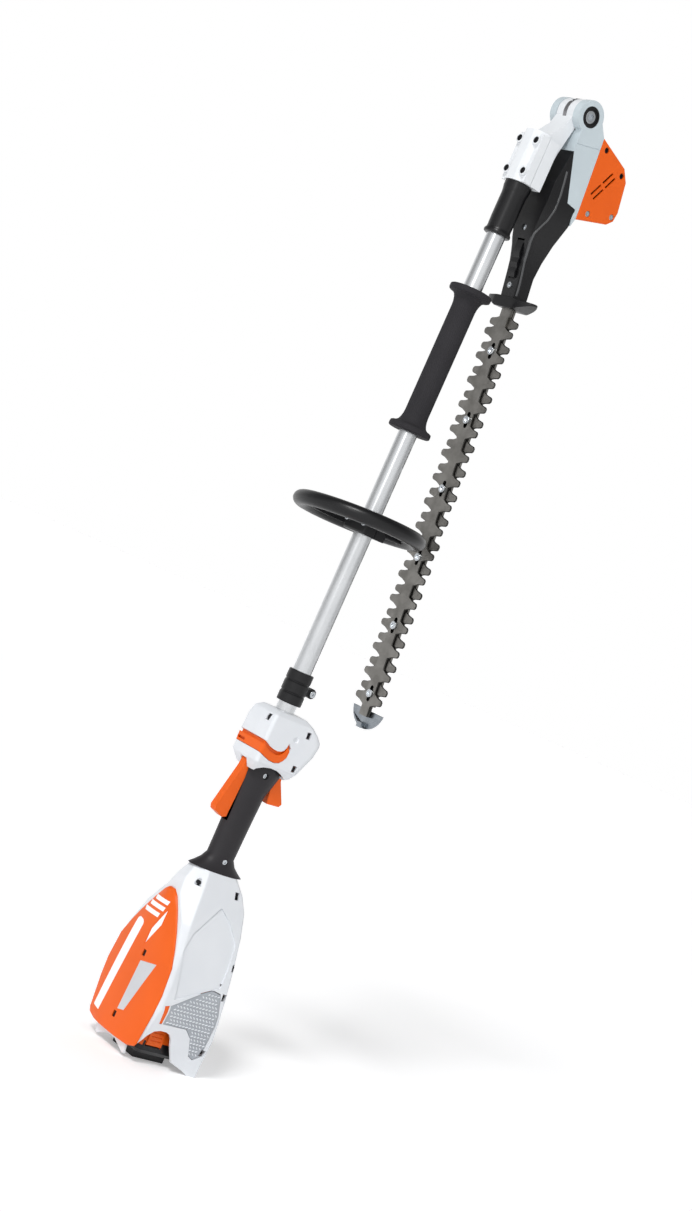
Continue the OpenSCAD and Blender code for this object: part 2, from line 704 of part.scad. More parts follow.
module bar_screws() color([0.75, 0.76, 0.77]) head()
    for (i = [0 : bar_screws_n - 1]) {
        z = bar_screw_z - i * bar_screw_pitch;
        difference() {
            union() {
                rod_x(5.4, 0, z, -5.4, -3.1);
                rod_x(2.5, 0, z, -3.1, bar_x + bar_thick);
                rod_x(4.4, 0, z, bar_x + bar_thick, bar_x + bar_thick + 3.4);
            }
            rod_x(2.2, 0, z, -7, -4);
        }
    }

module tip_guard() color([0.70, 0.72, 0.74]) head() difference() {
    union() {
        intersection() {
            rod_x(31, 0, -769, bar_x, bar_x + bar_thick);
            block([0, -31, -800], [10, 31, -770.01]);
        }
        block([-3.6, -4.5, -799.6], [bar_x + bar_thick, 4.5, -792.6]);
    }
    rod_x(60, 0, -859.8, -10, -10 + eps);
}

// Double-sided blade with a yoke window at its driven end
module blade(x0, z_first) difference() {
    translate([x0, 0, 0]) rotate([90, 0, 90]) linear_extrude(blade_thick) union() {
        translate([-spine_half_w, blade_end_z])
            square([2 * spine_half_w, crank_z - 20 - blade_end_z]);
        translate([-yoke_half_w, crank_z - yoke_half_l])
            square([2 * yoke_half_w, 2 * yoke_half_l]);
        for (i = [0 : tooth_count - 1])
            polygon(mirrored_tooth(z_first - i * tooth_pitch));
    }
    block([x0 - 1, -16, crank_z - 23.6], [x0 + blade_thick + 1, 16, crank_z + 23.6]);
    for (i = [0 : bar_screws_n - 1]) {
        z = bar_screw_z - i * bar_screw_pitch;
        block([x0 - 1, -3, z - blade_stroke], [x0 + blade_thick + 1, 3, z + blade_stroke]);
        for (s = [-1, 1]) rod_x(3, 0, z + s * blade_stroke, x0 - 1, x0 + blade_thick + 1);
    }
}

function mirrored_tooth(z) = [[-spine_half_w, z + 9], [-17, z + 5.5], [-tooth_reach + 2, z + 4],
    [-tooth_reach, z + 2], [-tooth_reach, z - 2], [-tooth_reach + 2, z - 4], [-17, z - 5.5],
    [-spine_half_w, z - 9], [spine_half_w, z - 9], [17, z - 5.5], [tooth_reach - 2, z - 4],
    [tooth_reach, z - 2], [tooth_reach, z + 2], [tooth_reach - 2, z + 4], [17, z + 5.5],
    [spine_half_w, z + 9]];

module lower_blade() color([0.45, 0.45, 0.44]) head()
    blade(-blade_gap - blade_thick, first_tooth_z - blade_offset);
module upper_blade() color([0.42, 0.42, 0.41]) head() blade(blade_gap, first_tooth_z);

// ---- Drive ----
// Spur gear outline: straight-flanked teeth with backlash
function gear_points(teeth, phase) =
    let (r = gear_module * teeth / 2, pitch_a = 360 / teeth)
    [for (i = [0 : teeth - 1], k = [0 : 3])
        let (a = phase + pitch_a * (i + [-0.30, -0.11, 0.11, 0.30][k]),
             q = r + gear_module * [-1.15, 0.85, 0.85, -1.15][k])
        [q * cos(a), q * sin(a)]];

module spur_gear(teeth, phase, z, x0, x1)
    translate([x0, 0, z]) rotate([90, 0, 90]) linear_extrude(x1 - x0)
        polygon(gear_points(teeth, phase));

module crank_gear() color([0.50, 0.51, 0.53]) head() union() {
    difference() {
        spur_gear(gear_teeth, 0, crank_z, 6, 13);
        for (a = [0 : 60 : 300]) translate([0, 0, crank_z]) rotate([a, 0, 0])
            rod_x(4, 0, 14, 5, 14);
    }
    rod_x(5, 0, crank_z, -12, 23);
    rod_x(eccentric_r, 0, crank_z + blade_stroke, -2.7, -0.3);
    rod_x(eccentric_r, 0, crank_z - blade_stroke, 0.3, 2.7);
}

module motor_pinion() color([0.62, 0.60, 0.52]) head() difference() {
    spur_gear(pinion_teeth, 15, motor_z, 5.2, 13.6);
    rod_x(3.5, 0, motor_z, 4, 15);
}

module motor_rotor() color([0.30, 0.30, 0.32]) head() union() {
    rod_x(3.5, 0, motor_z, 5.2, 83);
    rod_x(13.4, 0, motor_z, 44, 70);
}

module motor_fan() color([0.22, 0.22, 0.23]) head() difference() {
    union() {
        rod_x(8, 0, motor_z, 33, 40);
        rod_x(19, 0, motor_z, 33, 34.6);
        for (a = [0 : 40 : 320]) translate([0, 0, motor_z]) rotate([a, 0, 0])
            block([34, -0.8, 6], [39.6, 0.8, 19]);
    }
    rod_x(3.5, 0, motor_z, 30, 42);
}

// ---- Head lock ----
module release_lever() color([0.16, 0.16, 0.17]) head() difference() {
    union() {
        prism_y([[-17, -166], [-12, -166], [-11, -176], [-11, -212], [-13.6, -212],
            [-15.6, -206], [-14.6, -200], [-17, -194], [-16, -188], [-18.6, -182],
            [-18.4, -172]], -6, 6);
    }
    rod_y(1.5, -14.5, -171, -10, 10);
}

module lock_pawl() color([0.50, 0.51, 0.53]) head()
    block([-3, -2.8, -44], [3, 2.8, -21.2]);

housing_right();
housing_left();
back_cover();
intake_grilles();
grille_tabs();
housing_screws();
cover_screws();
battery_contacts();
control_board();
handle_right();
handle_left();
handle_screws();
control_housing_right();
control_housing_left();
control_screws();
trigger_switch();
motor_cable();
shaft_tube();
strap_clamp();
strap_clamp_screw();
loop_handle();
loop_clamp_cap();
loop_screws();
grip_hose();
joint_sleeve();
bracket_body();
bracket_cap();
bracket_screws();
pivot_bolt();
detent_disc();
gear_housing();
casing_outer();
casing_inner();
casing_screws();
motor_cover_right();
motor_cover_left();
motor_cover_screws();
motor_stator();
drive_bearings();
pivot_bushes();
hand_guard();
blade_bar();
bar_screws();
tip_guard();
motor_rotor();
motor_fan();
motor_pinion();
crank_gear();
upper_blade();
lower_blade();
trigger();
lockout_lever();
retaining_latch();
release_lever();
lock_pawl();
battery_case();
battery_base();
battery_cells();
battery_latch_right();
battery_latch_left();
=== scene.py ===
"""Looks of a battery pole hedge trimmer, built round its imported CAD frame."""
import json
import logging
import math
from collections.abc import Callable
from dataclasses import dataclass
from enum import Enum

import bmesh
import bpy
from mathutils import Matrix, Vector


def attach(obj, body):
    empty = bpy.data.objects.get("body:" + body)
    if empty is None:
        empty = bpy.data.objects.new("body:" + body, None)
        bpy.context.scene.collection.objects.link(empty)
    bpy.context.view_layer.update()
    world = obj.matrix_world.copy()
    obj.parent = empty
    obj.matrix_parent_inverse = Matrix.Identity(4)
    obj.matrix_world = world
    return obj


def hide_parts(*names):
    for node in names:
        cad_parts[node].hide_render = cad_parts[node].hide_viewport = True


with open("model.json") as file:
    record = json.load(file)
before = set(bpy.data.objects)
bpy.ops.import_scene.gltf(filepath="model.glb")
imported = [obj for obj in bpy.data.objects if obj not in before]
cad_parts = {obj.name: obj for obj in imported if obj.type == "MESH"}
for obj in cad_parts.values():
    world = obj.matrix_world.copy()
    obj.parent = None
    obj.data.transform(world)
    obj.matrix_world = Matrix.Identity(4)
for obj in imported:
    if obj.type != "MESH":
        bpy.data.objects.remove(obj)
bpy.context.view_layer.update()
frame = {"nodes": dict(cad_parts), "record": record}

log = logging.getLogger("trimmer")

MM = 0.001
Point2 = tuple[float, float]
Point3 = tuple[float, float, float]
JOINTS = {j["name"]: j for j in frame["record"]["behaviour"]["joints"]}

# The folded head's own frame: origin on the pivot, Z up along the blades
PIVOT = Vector(JOINTS["head_fold"]["pos_m"])
BLADE_WAY = Vector(JOINTS["upper_blade_slide"]["axis"])
LEAN = math.atan2(BLADE_WAY.x, -BLADE_WAY.z)
HEAD = Matrix.Translation(PIVOT / MM) @ Matrix.Rotation(-LEAN, 4, "Y")
UPRIGHT = Matrix.Identity(4)


class Side(Enum):
    """The two sides of the tool across its symmetry plane."""

    RIGHT = -1
    LEFT = 1


class Axis(Enum):
    """The direction that an outline is pushed along, or a profile is spun about."""

    X = 0
    Y = 1
    Z = 2


def srgb(code: str) -> tuple[float, float, float, float]:
    """Turns an sRGB hex colour into linear RGBA.

    Args:
        code: Six hex digits.

    Returns:
        The linear colour with an alpha of 1.
    """
    parts = [int(code[i:i + 2], 16) / 255 for i in (0, 2, 4)]
    linear = [c / 12.92 if c <= 0.04045 else ((c + 0.055) / 1.055) ** 2.4 for c in parts]
    return (*linear, 1.0)


def add_node(tree: bpy.types.NodeTree, kind: str, inputs: dict | None = None,
             **settings: object) -> bpy.types.Node:
    """Adds a shader node with its settings and its links.

    Args:
        tree: The material's node tree.
        kind: The node's type, without its "ShaderNode" prefix.
        inputs: Input name or index to a value, or to the socket that feeds it.
        settings: The node's own properties.

    Returns:
        The new node.
    """
    made = tree.nodes.new("ShaderNode" + kind)
    for key, value in settings.items():
        setattr(made, key, value)
    for key, value in (inputs or {}).items():
        if isinstance(value, bpy.types.NodeSocket):
            tree.links.new(value, made.inputs[key])
        else:
            made.inputs[key].default_value = value
    return made


# ---- Finishes ----

@dataclass(frozen=True)
class Finish:
    """A surface: its colour, its gloss, and the grain left by how it was made.

    Grain, patch and depth are real sizes in millimetres. Stretch lengthens the grain
    along one axis, as drawing, turning or grinding does.
    """

    name: str
    colour: str
    shade: str
    roughness: float
    metallic: float = 0.0
    ior: float = 1.5
    specular: float = 0.5
    glow: float = 0.0
    coat: float = 0.0
    grain: float = 0.9
    depth: float = 0.03
    patch: float = 60.0
    patch_mix: float = 0.5
    scatter: float = 0.10
    stretch: Point3 = (1.0, 1.0, 1.0)

    def height(self, tree: bpy.types.NodeTree, where: bpy.types.NodeSocket
               ) -> bpy.types.NodeSocket:
        """Adds the nodes that give the grain's height at each point.

        Args:
            tree: The material's node tree.
            where: The place that the pattern is read at.

        Returns:
            The height, from 0 to 1.
        """
        return add_node(tree, "TexNoise", {"Vector": where, "Scale": 1 / (self.grain * MM),
                                           "Detail": 3.0, "Roughness": 0.55}
                        ).outputs["Fac"]

    def make(self) -> bpy.types.Material:
        """Builds the material, or finds it if it is there already.

        Returns:
            The material.
        """
        known = bpy.data.materials.get(self.name)
        if known:
            return known
        made = bpy.data.materials.new(self.name)
        made.use_nodes = True
        made.diffuse_color = srgb(self.colour)
        tree = made.node_tree
        shader = tree.nodes["Principled BSDF"]
        shader.inputs["Metallic"].default_value = self.metallic
        shader.inputs["IOR"].default_value = self.ior
        shader.inputs["Specular IOR Level"].default_value = self.specular
        shader.inputs["Emission Color"].default_value = srgb("FFFFFF")
        shader.inputs["Emission Strength"].default_value = self.glow
        shader.inputs["Coat Weight"].default_value = self.coat
        shader.inputs["Coat Roughness"].default_value = 0.12
        place = add_node(tree, "TexCoord").outputs["Object"]
        grained = add_node(tree, "Mapping", {"Vector": place, "Scale": self.stretch}
                           ).outputs["Vector"]
        height = self.height(tree, grained)
        patch = add_node(tree, "TexNoise", {"Vector": place, "Scale": 1 / (self.patch * MM),
                                            "Detail": 2.0}).outputs["Fac"]
        tone = add_node(tree, "MapRange", {"Value": patch, "From Min": 0.35, "From Max": 0.65,
                                           "To Min": 0.0, "To Max": self.patch_mix}
                        ).outputs["Result"]
        colour = add_node(tree, "Mix", {"Factor": tone, 6: srgb(self.colour),
                                        7: srgb(self.shade)}, data_type="RGBA")
        gloss = add_node(tree, "MapRange", {
            "Value": height, "From Min": 0.3, "From Max": 0.7,
            "To Min": self.roughness - self.scatter / 2,
            "To Max": self.roughness + self.scatter / 2}).outputs["Result"]
        bump = add_node(tree, "Bump", {"Strength": 1.0, "Distance": self.depth * MM,
                                       "Height": height}).outputs["Normal"]
        tree.links.new(colour.outputs[2], shader.inputs["Base Color"])
        tree.links.new(gloss, shader.inputs["Roughness"])
        tree.links.new(bump, shader.inputs["Normal"])
        return made


@dataclass(frozen=True)
class Ribbed(Finish):
    """A surface with fine parallel ridges, this far apart in millimetres."""

    pitch: float = 2.0
    direction: str = "Z"

    def height(self, tree: bpy.types.NodeTree, where: bpy.types.NodeSocket
               ) -> bpy.types.NodeSocket:
        """Adds the ridges to the grain.

        Args:
            tree: The material's node tree.
            where: The place that the pattern is read at.

        Returns:
            The height, from 0 to 1.25.
        """
        fine = super().height(tree, where)
        wave = add_node(tree, "TexWave", {"Vector": where, "Scale": 0.314 / (self.pitch * MM),
                                          "Distortion": 0.0}, bands_direction=self.direction
                        ).outputs["Fac"]
        return add_node(tree, "Math", {0: fine, 1: 0.25, 2: wave},
                        operation="MULTIPLY_ADD").outputs[0]


class Finishes:
    """Every finish on the tool, named for what the real one is, save the ridge bead's, whose
    lighter colour is a painted highlight.
    """

    # Injection-moulded nylon shells: fine spark-eroded grain, soft broad highlight
    WHITE = Finish("moulded_white_nylon", "DDE0E4", "D4D8DD", 0.40, grain=0.7, depth=0.02,
                   specular=0.4)
    GREY = Finish("moulded_pale_grey_nylon", "A6ABB1", "979CA3", 0.5, grain=0.7, depth=0.03)
    ORANGE = Finish("moulded_orange_nylon", "E65F0C", "DC580A", 0.42, grain=0.7, depth=0.02,
                    specular=0.3)
    # Glass-filled black nylon: slight sheen on its edges
    BLACK = Finish("moulded_black_nylon", "0E0E10", "141416", 0.34, grain=0.9, depth=0.03,
                   specular=0.35)
    # Rounded ridge along the casing's corner, coloured lighter than the black nylon as a painted
    # highlight; glossy, with a clear coat
    EDGE = Finish("black_nylon_painted_highlight", "3A3B3D", "444547", 0.16, grain=0.9, depth=0.01,
                  coat=0.5, scatter=0.06)
    # Soft overmould on the handle: dull, with a fine leathery grain
    OVERMOULD = Finish("soft_charcoal_overmould", "242225", "2B292C", 0.5, grain=1.1,
                       depth=0.05, scatter=0.15, specular=0.3)
    # Foam hose: dull and even, with tiny closed cells
    FOAM = Finish("closed_cell_foam_rubber", "272629", "2E2D30", 0.78, grain=1.3, depth=0.08,
                  scatter=0.1, specular=0.25)
    # Drawn and polished aluminium tube: lines run along it, crisp bright highlight
    TUBE = Finish("drawn_polished_aluminium", "D9DBDD", "C6C8CB", 0.24, metallic=1.0,
                  grain=0.5, depth=0.004, stretch=(1.0, 1.0, 0.01), scatter=0.08)
    # Powder-coated castings: smooth orange-peel skin
    CAST_WHITE = Finish("powder_coated_white_casting", "E4E7EA", "D6DADE", 0.38, grain=1.6,
                        depth=0.05, coat=0.15)
    CAST_GREY = Finish("powder_coated_grey_casting", "C3CED3", "B5C1C7", 0.42, grain=1.6,
                       depth=0.05, coat=0.1)
    # Hardened blade steel: ground across its width, dark and satin
    BLADE = Finish("ground_blade_steel", "8E8C88", "74726E", 0.40, metallic=1.0, grain=0.45,
                   depth=0.012, stretch=(1.0, 0.04, 1.0), patch=18.0, patch_mix=0.8,
                   scatter=0.2)
    # Ground cutting flank, oiled and darker than the flat
    FLANK = Finish("ground_blade_flank", "4C4B49", "363533", 0.36, metallic=1.0, grain=0.4,
                   depth=0.012, patch=12.0, patch_mix=0.8, scatter=0.15)
    # Bent guard at the blades' tip, and plated screws: bright with faint polishing marks
    GUARD = Finish("brushed_steel_guard", "9AA0A6", "7E848A", 0.26, metallic=1.0, grain=0.5,
                   depth=0.01, scatter=0.12, patch=10.0)
    PLATED = Finish("bright_zinc_plate", "CBCFD3", "AEB3B8", 0.22, metallic=1.0, grain=0.6,
                    depth=0.006, scatter=0.12, patch=8.0)
    OXIDE = Finish("black_oxide_steel", "17171A", "222226", 0.42, metallic=0.6, grain=0.5,
                   depth=0.01)
    MACHINED = Finish("machined_gear_steel", "9A9A9C", "858588", 0.34, metallic=1.0,
                      grain=0.5, depth=0.01, scatter=0.15)
    # Enamelled copper wire: rounded strands side by side
    WINDING = Ribbed("enamelled_copper_winding", "B8682E", "8E4719", 0.32, metallic=0.8,
                     grain=0.8, depth=0.25, pitch=1.1, direction="X")
    BOARD = Finish("green_solder_mask", "1F5B36", "174528", 0.35, grain=2.5, depth=0.05,
                   coat=0.3)
    CABLE = Finish("rubber_cable_jacket", "202022", "2A2A2C", 0.6, grain=0.8, depth=0.04)
    CELL = Finish("shrink_wrapped_cell", "2F6FA8", "255C8E", 0.25, grain=5.0, depth=0.04,
                  coat=0.4)
    # Blank sticker: smooth white film
    LABEL = Finish("blank_white_film", "F4F5F6", "ECEEF0", 0.3, grain=3.0, depth=0.004,
                   coat=0.2)
    PLATE = Finish("blank_grey_film", "C9CBCF", "B9BCC1", 0.32, grain=3.0, depth=0.004)
    # Seamless studio surface that gives off a little light of its own
    PAPER = Finish("matt_studio_paper", "FBFBFC", "FAFAFB", 0.9, grain=2.0, depth=0.0,
                   scatter=0.0, patch=900.0, glow=0.27)


# ---- Shaping ----

class Form:
    """A solid in the making, in millimetres, held as a bmesh."""

    def __init__(self) -> None:
        """Starts with nothing."""
        self.bm = bmesh.new()

    @classmethod
    def prism(cls, outline: list[Point2], axis: Axis, low: float, high: float) -> "Form":
        """Pushes an outline along an axis.

        Args:
            outline: Corners, in the two other axes in X, Y, Z order.
            axis: The direction of the push.
            low: Where the prism starts.
            high: Where it ends.

        Returns:
            The closed prism.
        """
        form = cls()
        others = [i for i in range(3) if i != axis.value]
        ring = []
        for corner in outline:
            place = [0.0, 0.0, 0.0]
            place[others[0]], place[others[1]] = corner
            place[axis.value] = low
            ring.append(form.bm.verts.new(place))
        face = form.bm.faces.new(ring)
        pushed = bmesh.ops.extrude_face_region(form.bm, geom=[face], use_keep_orig=True)
        step = Vector([high - low if i == axis.value else 0.0 for i in range(3)])
        bmesh.ops.translate(form.bm, vec=step,
                            verts=[v for v in pushed["geom"] if isinstance(v, bmesh.types.BMVert)])
        bmesh.ops.recalc_face_normals(form.bm, faces=form.bm.faces)
        return form

    @classmethod
    def block(cls, low: Point3, high: Point3) -> "Form":
        """Makes a box.

        Args:
            low: Its lowest corner.
            high: Its highest corner.

        Returns:
            The closed box.
        """
        form = cls()
        size = [h - l for l, h in zip(low, high)]
        middle = [(l + h) / 2 for l, h in zip(low, high)]
        bmesh.ops.create_cube(form.bm, size=1.0)
        bmesh.ops.scale(form.bm, vec=size, verts=form.bm.verts)
        bmesh.ops.translate(form.bm, vec=middle, verts=form.bm.verts)
        return form

    @classmethod
    def rod(cls, axis: Axis, radius: float, at: Point2, low: float, high: float,
            sides: int = 48, tip: float | None = None) -> "Form":
        """Makes a round rod along an axis.

        Args:
            axis: The rod's direction.
            radius: Its radius.
            at: Its centre, in the two other axes.
            low: Where it starts.
            high: Where it ends.
            sides: How many flats stand for the circle.
            tip: Its radius at the far end, if it tapers.

        Returns:
            The closed rod.
        """
        form = cls()
        bmesh.ops.create_cone(form.bm, cap_ends=True, segments=sides, radius1=radius,
                              radius2=radius if tip is None else tip, depth=high - low)
        turn = {Axis.X: Matrix.Rotation(math.pi / 2, 4, "Y"),
                Axis.Y: Matrix.Rotation(-math.pi / 2, 4, "X"), Axis.Z: UPRIGHT}[axis]
        centre = list(at)
        centre.insert(axis.value, (low + high) / 2)
        bmesh.ops.transform(form.bm, matrix=Matrix.Translation(centre) @ turn,
                            verts=form.bm.verts)
        return form

    @classmethod
    def spun(cls, profile: list[Point2], centre: Point3 = (0, 0, 0), steps: int = 64,
             tilt: Matrix | None = None) -> "Form":
        """Spins a closed profile of radius and height about Z.

        Args:
            profile: Corners as radius and height.
            centre: What is added to every point at the end.
            steps: Steps in the full turn.
            tilt: A turn applied before the centre is added.

        Returns:
            The closed ring.
        """
        form = cls()
        ring = [form.bm.verts.new((r, 0.0, z)) for r, z in profile]
        edges = [form.bm.edges.new((ring[i], ring[(i + 1) % len(ring)]))
                 for i in range(len(ring))]
        bmesh.ops.spin(form.bm, geom=ring + edges, cent=(0, 0, 0), axis=(0, 0, 1),
                       angle=math.tau, steps=steps, use_merge=True)
        bmesh.ops.remove_doubles(form.bm, verts=form.bm.verts, dist=1e-4)
        bmesh.ops.recalc_face_normals(form.bm, faces=form.bm.faces)
        matrix = Matrix.Translation(centre) @ (tilt or UPRIGHT)
        bmesh.ops.transform(form.bm, matrix=matrix, verts=form.bm.verts)
        return form

    @classmethod
    def loft(cls, rings: list[list[Point3]]) -> "Form":
        """Bridges a stack of rings and caps both ends.

        Args:
            rings: The rings in order, with equal counts of points.

        Returns:
            The closed loft.
        """
        form = cls()
        last = None
        for ring in rings:
            verts = [form.bm.verts.new(p) for p in ring]
            edges = [form.bm.edges.new((verts[i], verts[(i + 1) % len(verts)]))
                     for i in range(len(verts))]
            if last:
                bmesh.ops.bridge_loops(form.bm, edges=last + edges)
            else:
                form.bm.faces.new(verts)
            last = edges
        form.bm.faces.new(verts)
        bmesh.ops.recalc_face_normals(form.bm, faces=form.bm.faces)
        return form

    @classmethod
    def cad(cls, *nodes: str) -> "Form":
        """Copies CAD nodes' meshes, with doubles merged and flat faces made whole.

        Args:
            nodes: The nodes' names.

        Returns:
            The copy, in millimetres.
        """
        form = cls()
        for name in nodes:
            form.bm.from_mesh(frame["nodes"][name].data)
        bmesh.ops.scale(form.bm, vec=(1 / MM,) * 3, verts=form.bm.verts)
        bmesh.ops.remove_doubles(form.bm, verts=form.bm.verts, dist=0.002)
        bmesh.ops.dissolve_degenerate(form.bm, edges=form.bm.edges, dist=0.001)
        return form.flattened()

    def flattened(self, degrees: float = 0.5) -> "Form":
        """Merges faces that lie in one plane.

        Args:
            degrees: The greatest angle between two faces that are merged.

        Returns:
            This form.
        """
        bmesh.ops.dissolve_limit(self.bm, angle_limit=math.radians(degrees),
                                 verts=self.bm.verts, edges=self.bm.edges)
        return self

    def moved(self, matrix: Matrix) -> "Form":
        """Turns and shifts the whole form."""
        bmesh.ops.transform(self.bm, matrix=matrix, verts=self.bm.verts)
        return self

    def sliced(self, axis: Axis, places: range) -> "Form":
        """Splits the faces by planes across an axis, so that they can follow a bend.

        Args:
            axis: The axis that the planes stand across.
            places: Where they stand.

        Returns:
            This form.
        """
        normal = [1.0 if i == axis.value else 0.0 for i in range(3)]
        for place in places:
            bmesh.ops.bisect_plane(
                self.bm, geom=self.bm.verts[:] + self.bm.edges[:] + self.bm.faces[:],
                dist=1e-4, plane_co=[n * place for n in normal], plane_no=normal)
        return self

    def bent(self, rule: Callable[[Vector], Vector]) -> "Form":
        """Moves each corner by what a rule gives for its place.

        Args:
            rule: Gives a shift for a place.

        Returns:
            This form.
        """
        for vert in self.bm.verts:
            vert.co += rule(vert.co)
        bmesh.ops.triangulate(self.bm, faces=[f for f in self.bm.faces if len(f.verts) > 4])
        return self

    def copy(self) -> "Form":
        """Makes a second form like this one.

        Returns:
            The second form.
        """
        twin = Form()
        twin.bm.free()
        twin.bm = self.bm.copy()
        return twin

    def with_(self, *others: "Form") -> "Form":
        """Adds other forms beside this one, without merging their volumes.

        Args:
            others: The forms to add.

        Returns:
            This form.
        """
        for other in others:
            held = bpy.data.meshes.new("held")
            other.bm.to_mesh(held)
            self.bm.from_mesh(held)
            bpy.data.meshes.remove(held)
        return self

    def rounded(self, width: float, segments: int = 2, degrees: float = 30.0,
                keep: Callable[[Vector], bool] | None = None) -> "Form":
        """Bevels the edges that are sharper than an angle.

        Args:
            width: Width of the bevel.
            segments: Its steps.
            degrees: The least angle between faces of an edge that is bevelled.
            keep: A test on an edge's middle, true where it is to be bevelled.

        Returns:
            This form.
        """
        edges = [e for e in self.bm.edges if e.is_manifold
                 and e.calc_face_angle(0.0) > math.radians(degrees)
                 and (keep is None or keep((e.verts[0].co + e.verts[1].co) / 2))]
        bmesh.ops.bevel(self.bm, geom=edges, offset=width, offset_type="OFFSET",
                        segments=segments, profile=0.5, affect="EDGES", clamp_overlap=True,
                        material=-1)
        return self

    def _solve(self, other: "Form", operation: str) -> "Form":
        """Applies a boolean of this form with another one.

        Args:
            other: The other form.
            operation: DIFFERENCE, INTERSECT or UNION.

        Returns:
            This form.
        """
        objects = []
        for form in (self, other):
            mesh = bpy.data.meshes.new("operand")
            form.bm.to_mesh(mesh)
            held = bpy.data.objects.new("operand", mesh)
            bpy.context.scene.collection.objects.link(held)
            objects.append(held)
        solver = objects[0].modifiers.new("solve", "BOOLEAN")
        solver.operation, solver.solver, solver.object = operation, "EXACT", objects[1]
        solved = objects[0].evaluated_get(bpy.context.evaluated_depsgraph_get()).to_mesh()
        self.bm.clear()
        self.bm.from_mesh(solved)
        for held in objects:
            mesh = held.data
            bpy.data.objects.remove(held)
            bpy.data.meshes.remove(mesh)
        bmesh.ops.remove_doubles(self.bm, verts=self.bm.verts, dist=0.002)
        return self.flattened(0.2)

    def cut(self, *others: "Form") -> "Form":
        """Takes other forms away from this one.

        Args:
            others: The forms to take away.

        Returns:
            This form.
        """
        for other in others:
            self._solve(other, "DIFFERENCE")
        return self

    def kept(self, other: "Form") -> "Form":
        """Keeps what lies inside another form."""
        return self._solve(other, "INTERSECT")

    def joined(self, *others: "Form") -> "Form":
        """Merges other forms' volumes into this one.

        Args:
            others: The forms to merge.

        Returns:
            This form.
        """
        for other in others:
            self._solve(other, "UNION")
        return self

    def piece(self, name: str, finish: Finish, body: str, replaces: tuple[str, ...] = (),
              slot: str = "", smooth: float = 35.0) -> bpy.types.Object:
        """Turns the form into a finished piece.

        Args:
            name: The piece's name.
            finish: Its surface.
            body: The CAD body that it rides on.
            replaces: The CAD nodes that it stands for.
            slot: The record's material slot; not used.
            smooth: Edges sharper than this angle stay crisp.

        Returns:
            The new object, at the origin, unturned and unscaled.
        """
        bmesh.ops.scale(self.bm, vec=(MM,) * 3, verts=self.bm.verts)
        mesh = bpy.data.meshes.new(name)
        self.bm.to_mesh(mesh)
        self.bm.free()
        mesh.shade_smooth()
        mesh.set_sharp_from_angle(angle=math.radians(smooth))
        made = bpy.data.objects.new(name, mesh)
        bpy.context.scene.collection.objects.link(made)
        mesh.materials.append(finish.make())
        shading = made.modifiers.new("even_shading", "WEIGHTED_NORMAL")
        shading.keep_sharp = True
        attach(made, body)
        if replaces:
            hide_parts(*replaces)
        log.info("%s: %d faces, rides on %s", name, len(mesh.polygons), body)
        return made


def mirrored(points: list[Point2]) -> list[Point2]:
    """Adds an outline's mirror image across its first coordinate."""
    return points + [(-a, b) for a, b in reversed(points)]


def between(table: list[tuple], at: float) -> list[float]:
    """Reads a row of values at a height, straight between the rows of a table.

    Args:
        table: Rows of height and values, in rising order of height.
        at: The height.

    Returns:
        The values there.
    """
    if at <= table[0][0]:
        return list(table[0][1:])
    for low, high in zip(table, table[1:]):
        if at <= high[0]:
            part = (at - low[0]) / (high[0] - low[0])
            return [a + (b - a) * part for a, b in zip(low[1:], high[1:])]
    return list(table[-1][1:])


def rounded_ring(back: float, front: float, half: float, radii: Point2, z: float
                 ) -> list[Point3]:
    """Gives a rounded rectangle's corners at a height.

    Args:
        back: Its lowest X.
        front: Its highest X.
        half: Its half width in Y.
        radii: The radius of its two back corners, and of its two front ones.
        z: The height.

    Returns:
        Twenty-four points in order.
    """
    rear, fore = radii
    ring = []
    for x, y, radius, start in ((front - fore, half - fore, fore, 0),
                                (back + rear, half - rear, rear, 90),
                                (back + rear, rear - half, rear, 180),
                                (front - fore, fore - half, fore, 270)):
        for k in range(6):
            a = math.radians(start + k * 18)
            ring.append((x + radius * math.cos(a), y + radius * math.sin(a), z))
    return ring


def dress(finish: Finish, *nodes: str) -> None:
    """Gives CAD nodes that keep their own meshes a finished material.

    Args:
        finish: The surface.
        nodes: The nodes' names.
    """
    for name in nodes:
        mesh = frame["nodes"][name].data
        mesh.materials.clear()
        mesh.materials.append(finish.make())


def one_side(side: Side, low: float, high: float) -> Form:
    """Makes a block that holds one side of the tool between two heights."""
    inner, outer = sorted((0.0, side.value * 100.0))
    return Form.block((-100, inner, low), (100, outer, high))


def outward(side: Side, near: float, far: float) -> list[float]:
    """Gives two distances from the symmetry plane on one side, in rising order of Y."""
    return sorted((side.value * near, side.value * far))


# ---- Sub-assemblies ----

class SubAssembly:
    """A group of pieces that are made and finished together."""

    def build(self) -> None:
        """Makes the group's pieces."""
        raise NotImplementedError

    def dress(self) -> None:
        """Finishes the CAD nodes that keep their own meshes; a group may have none."""


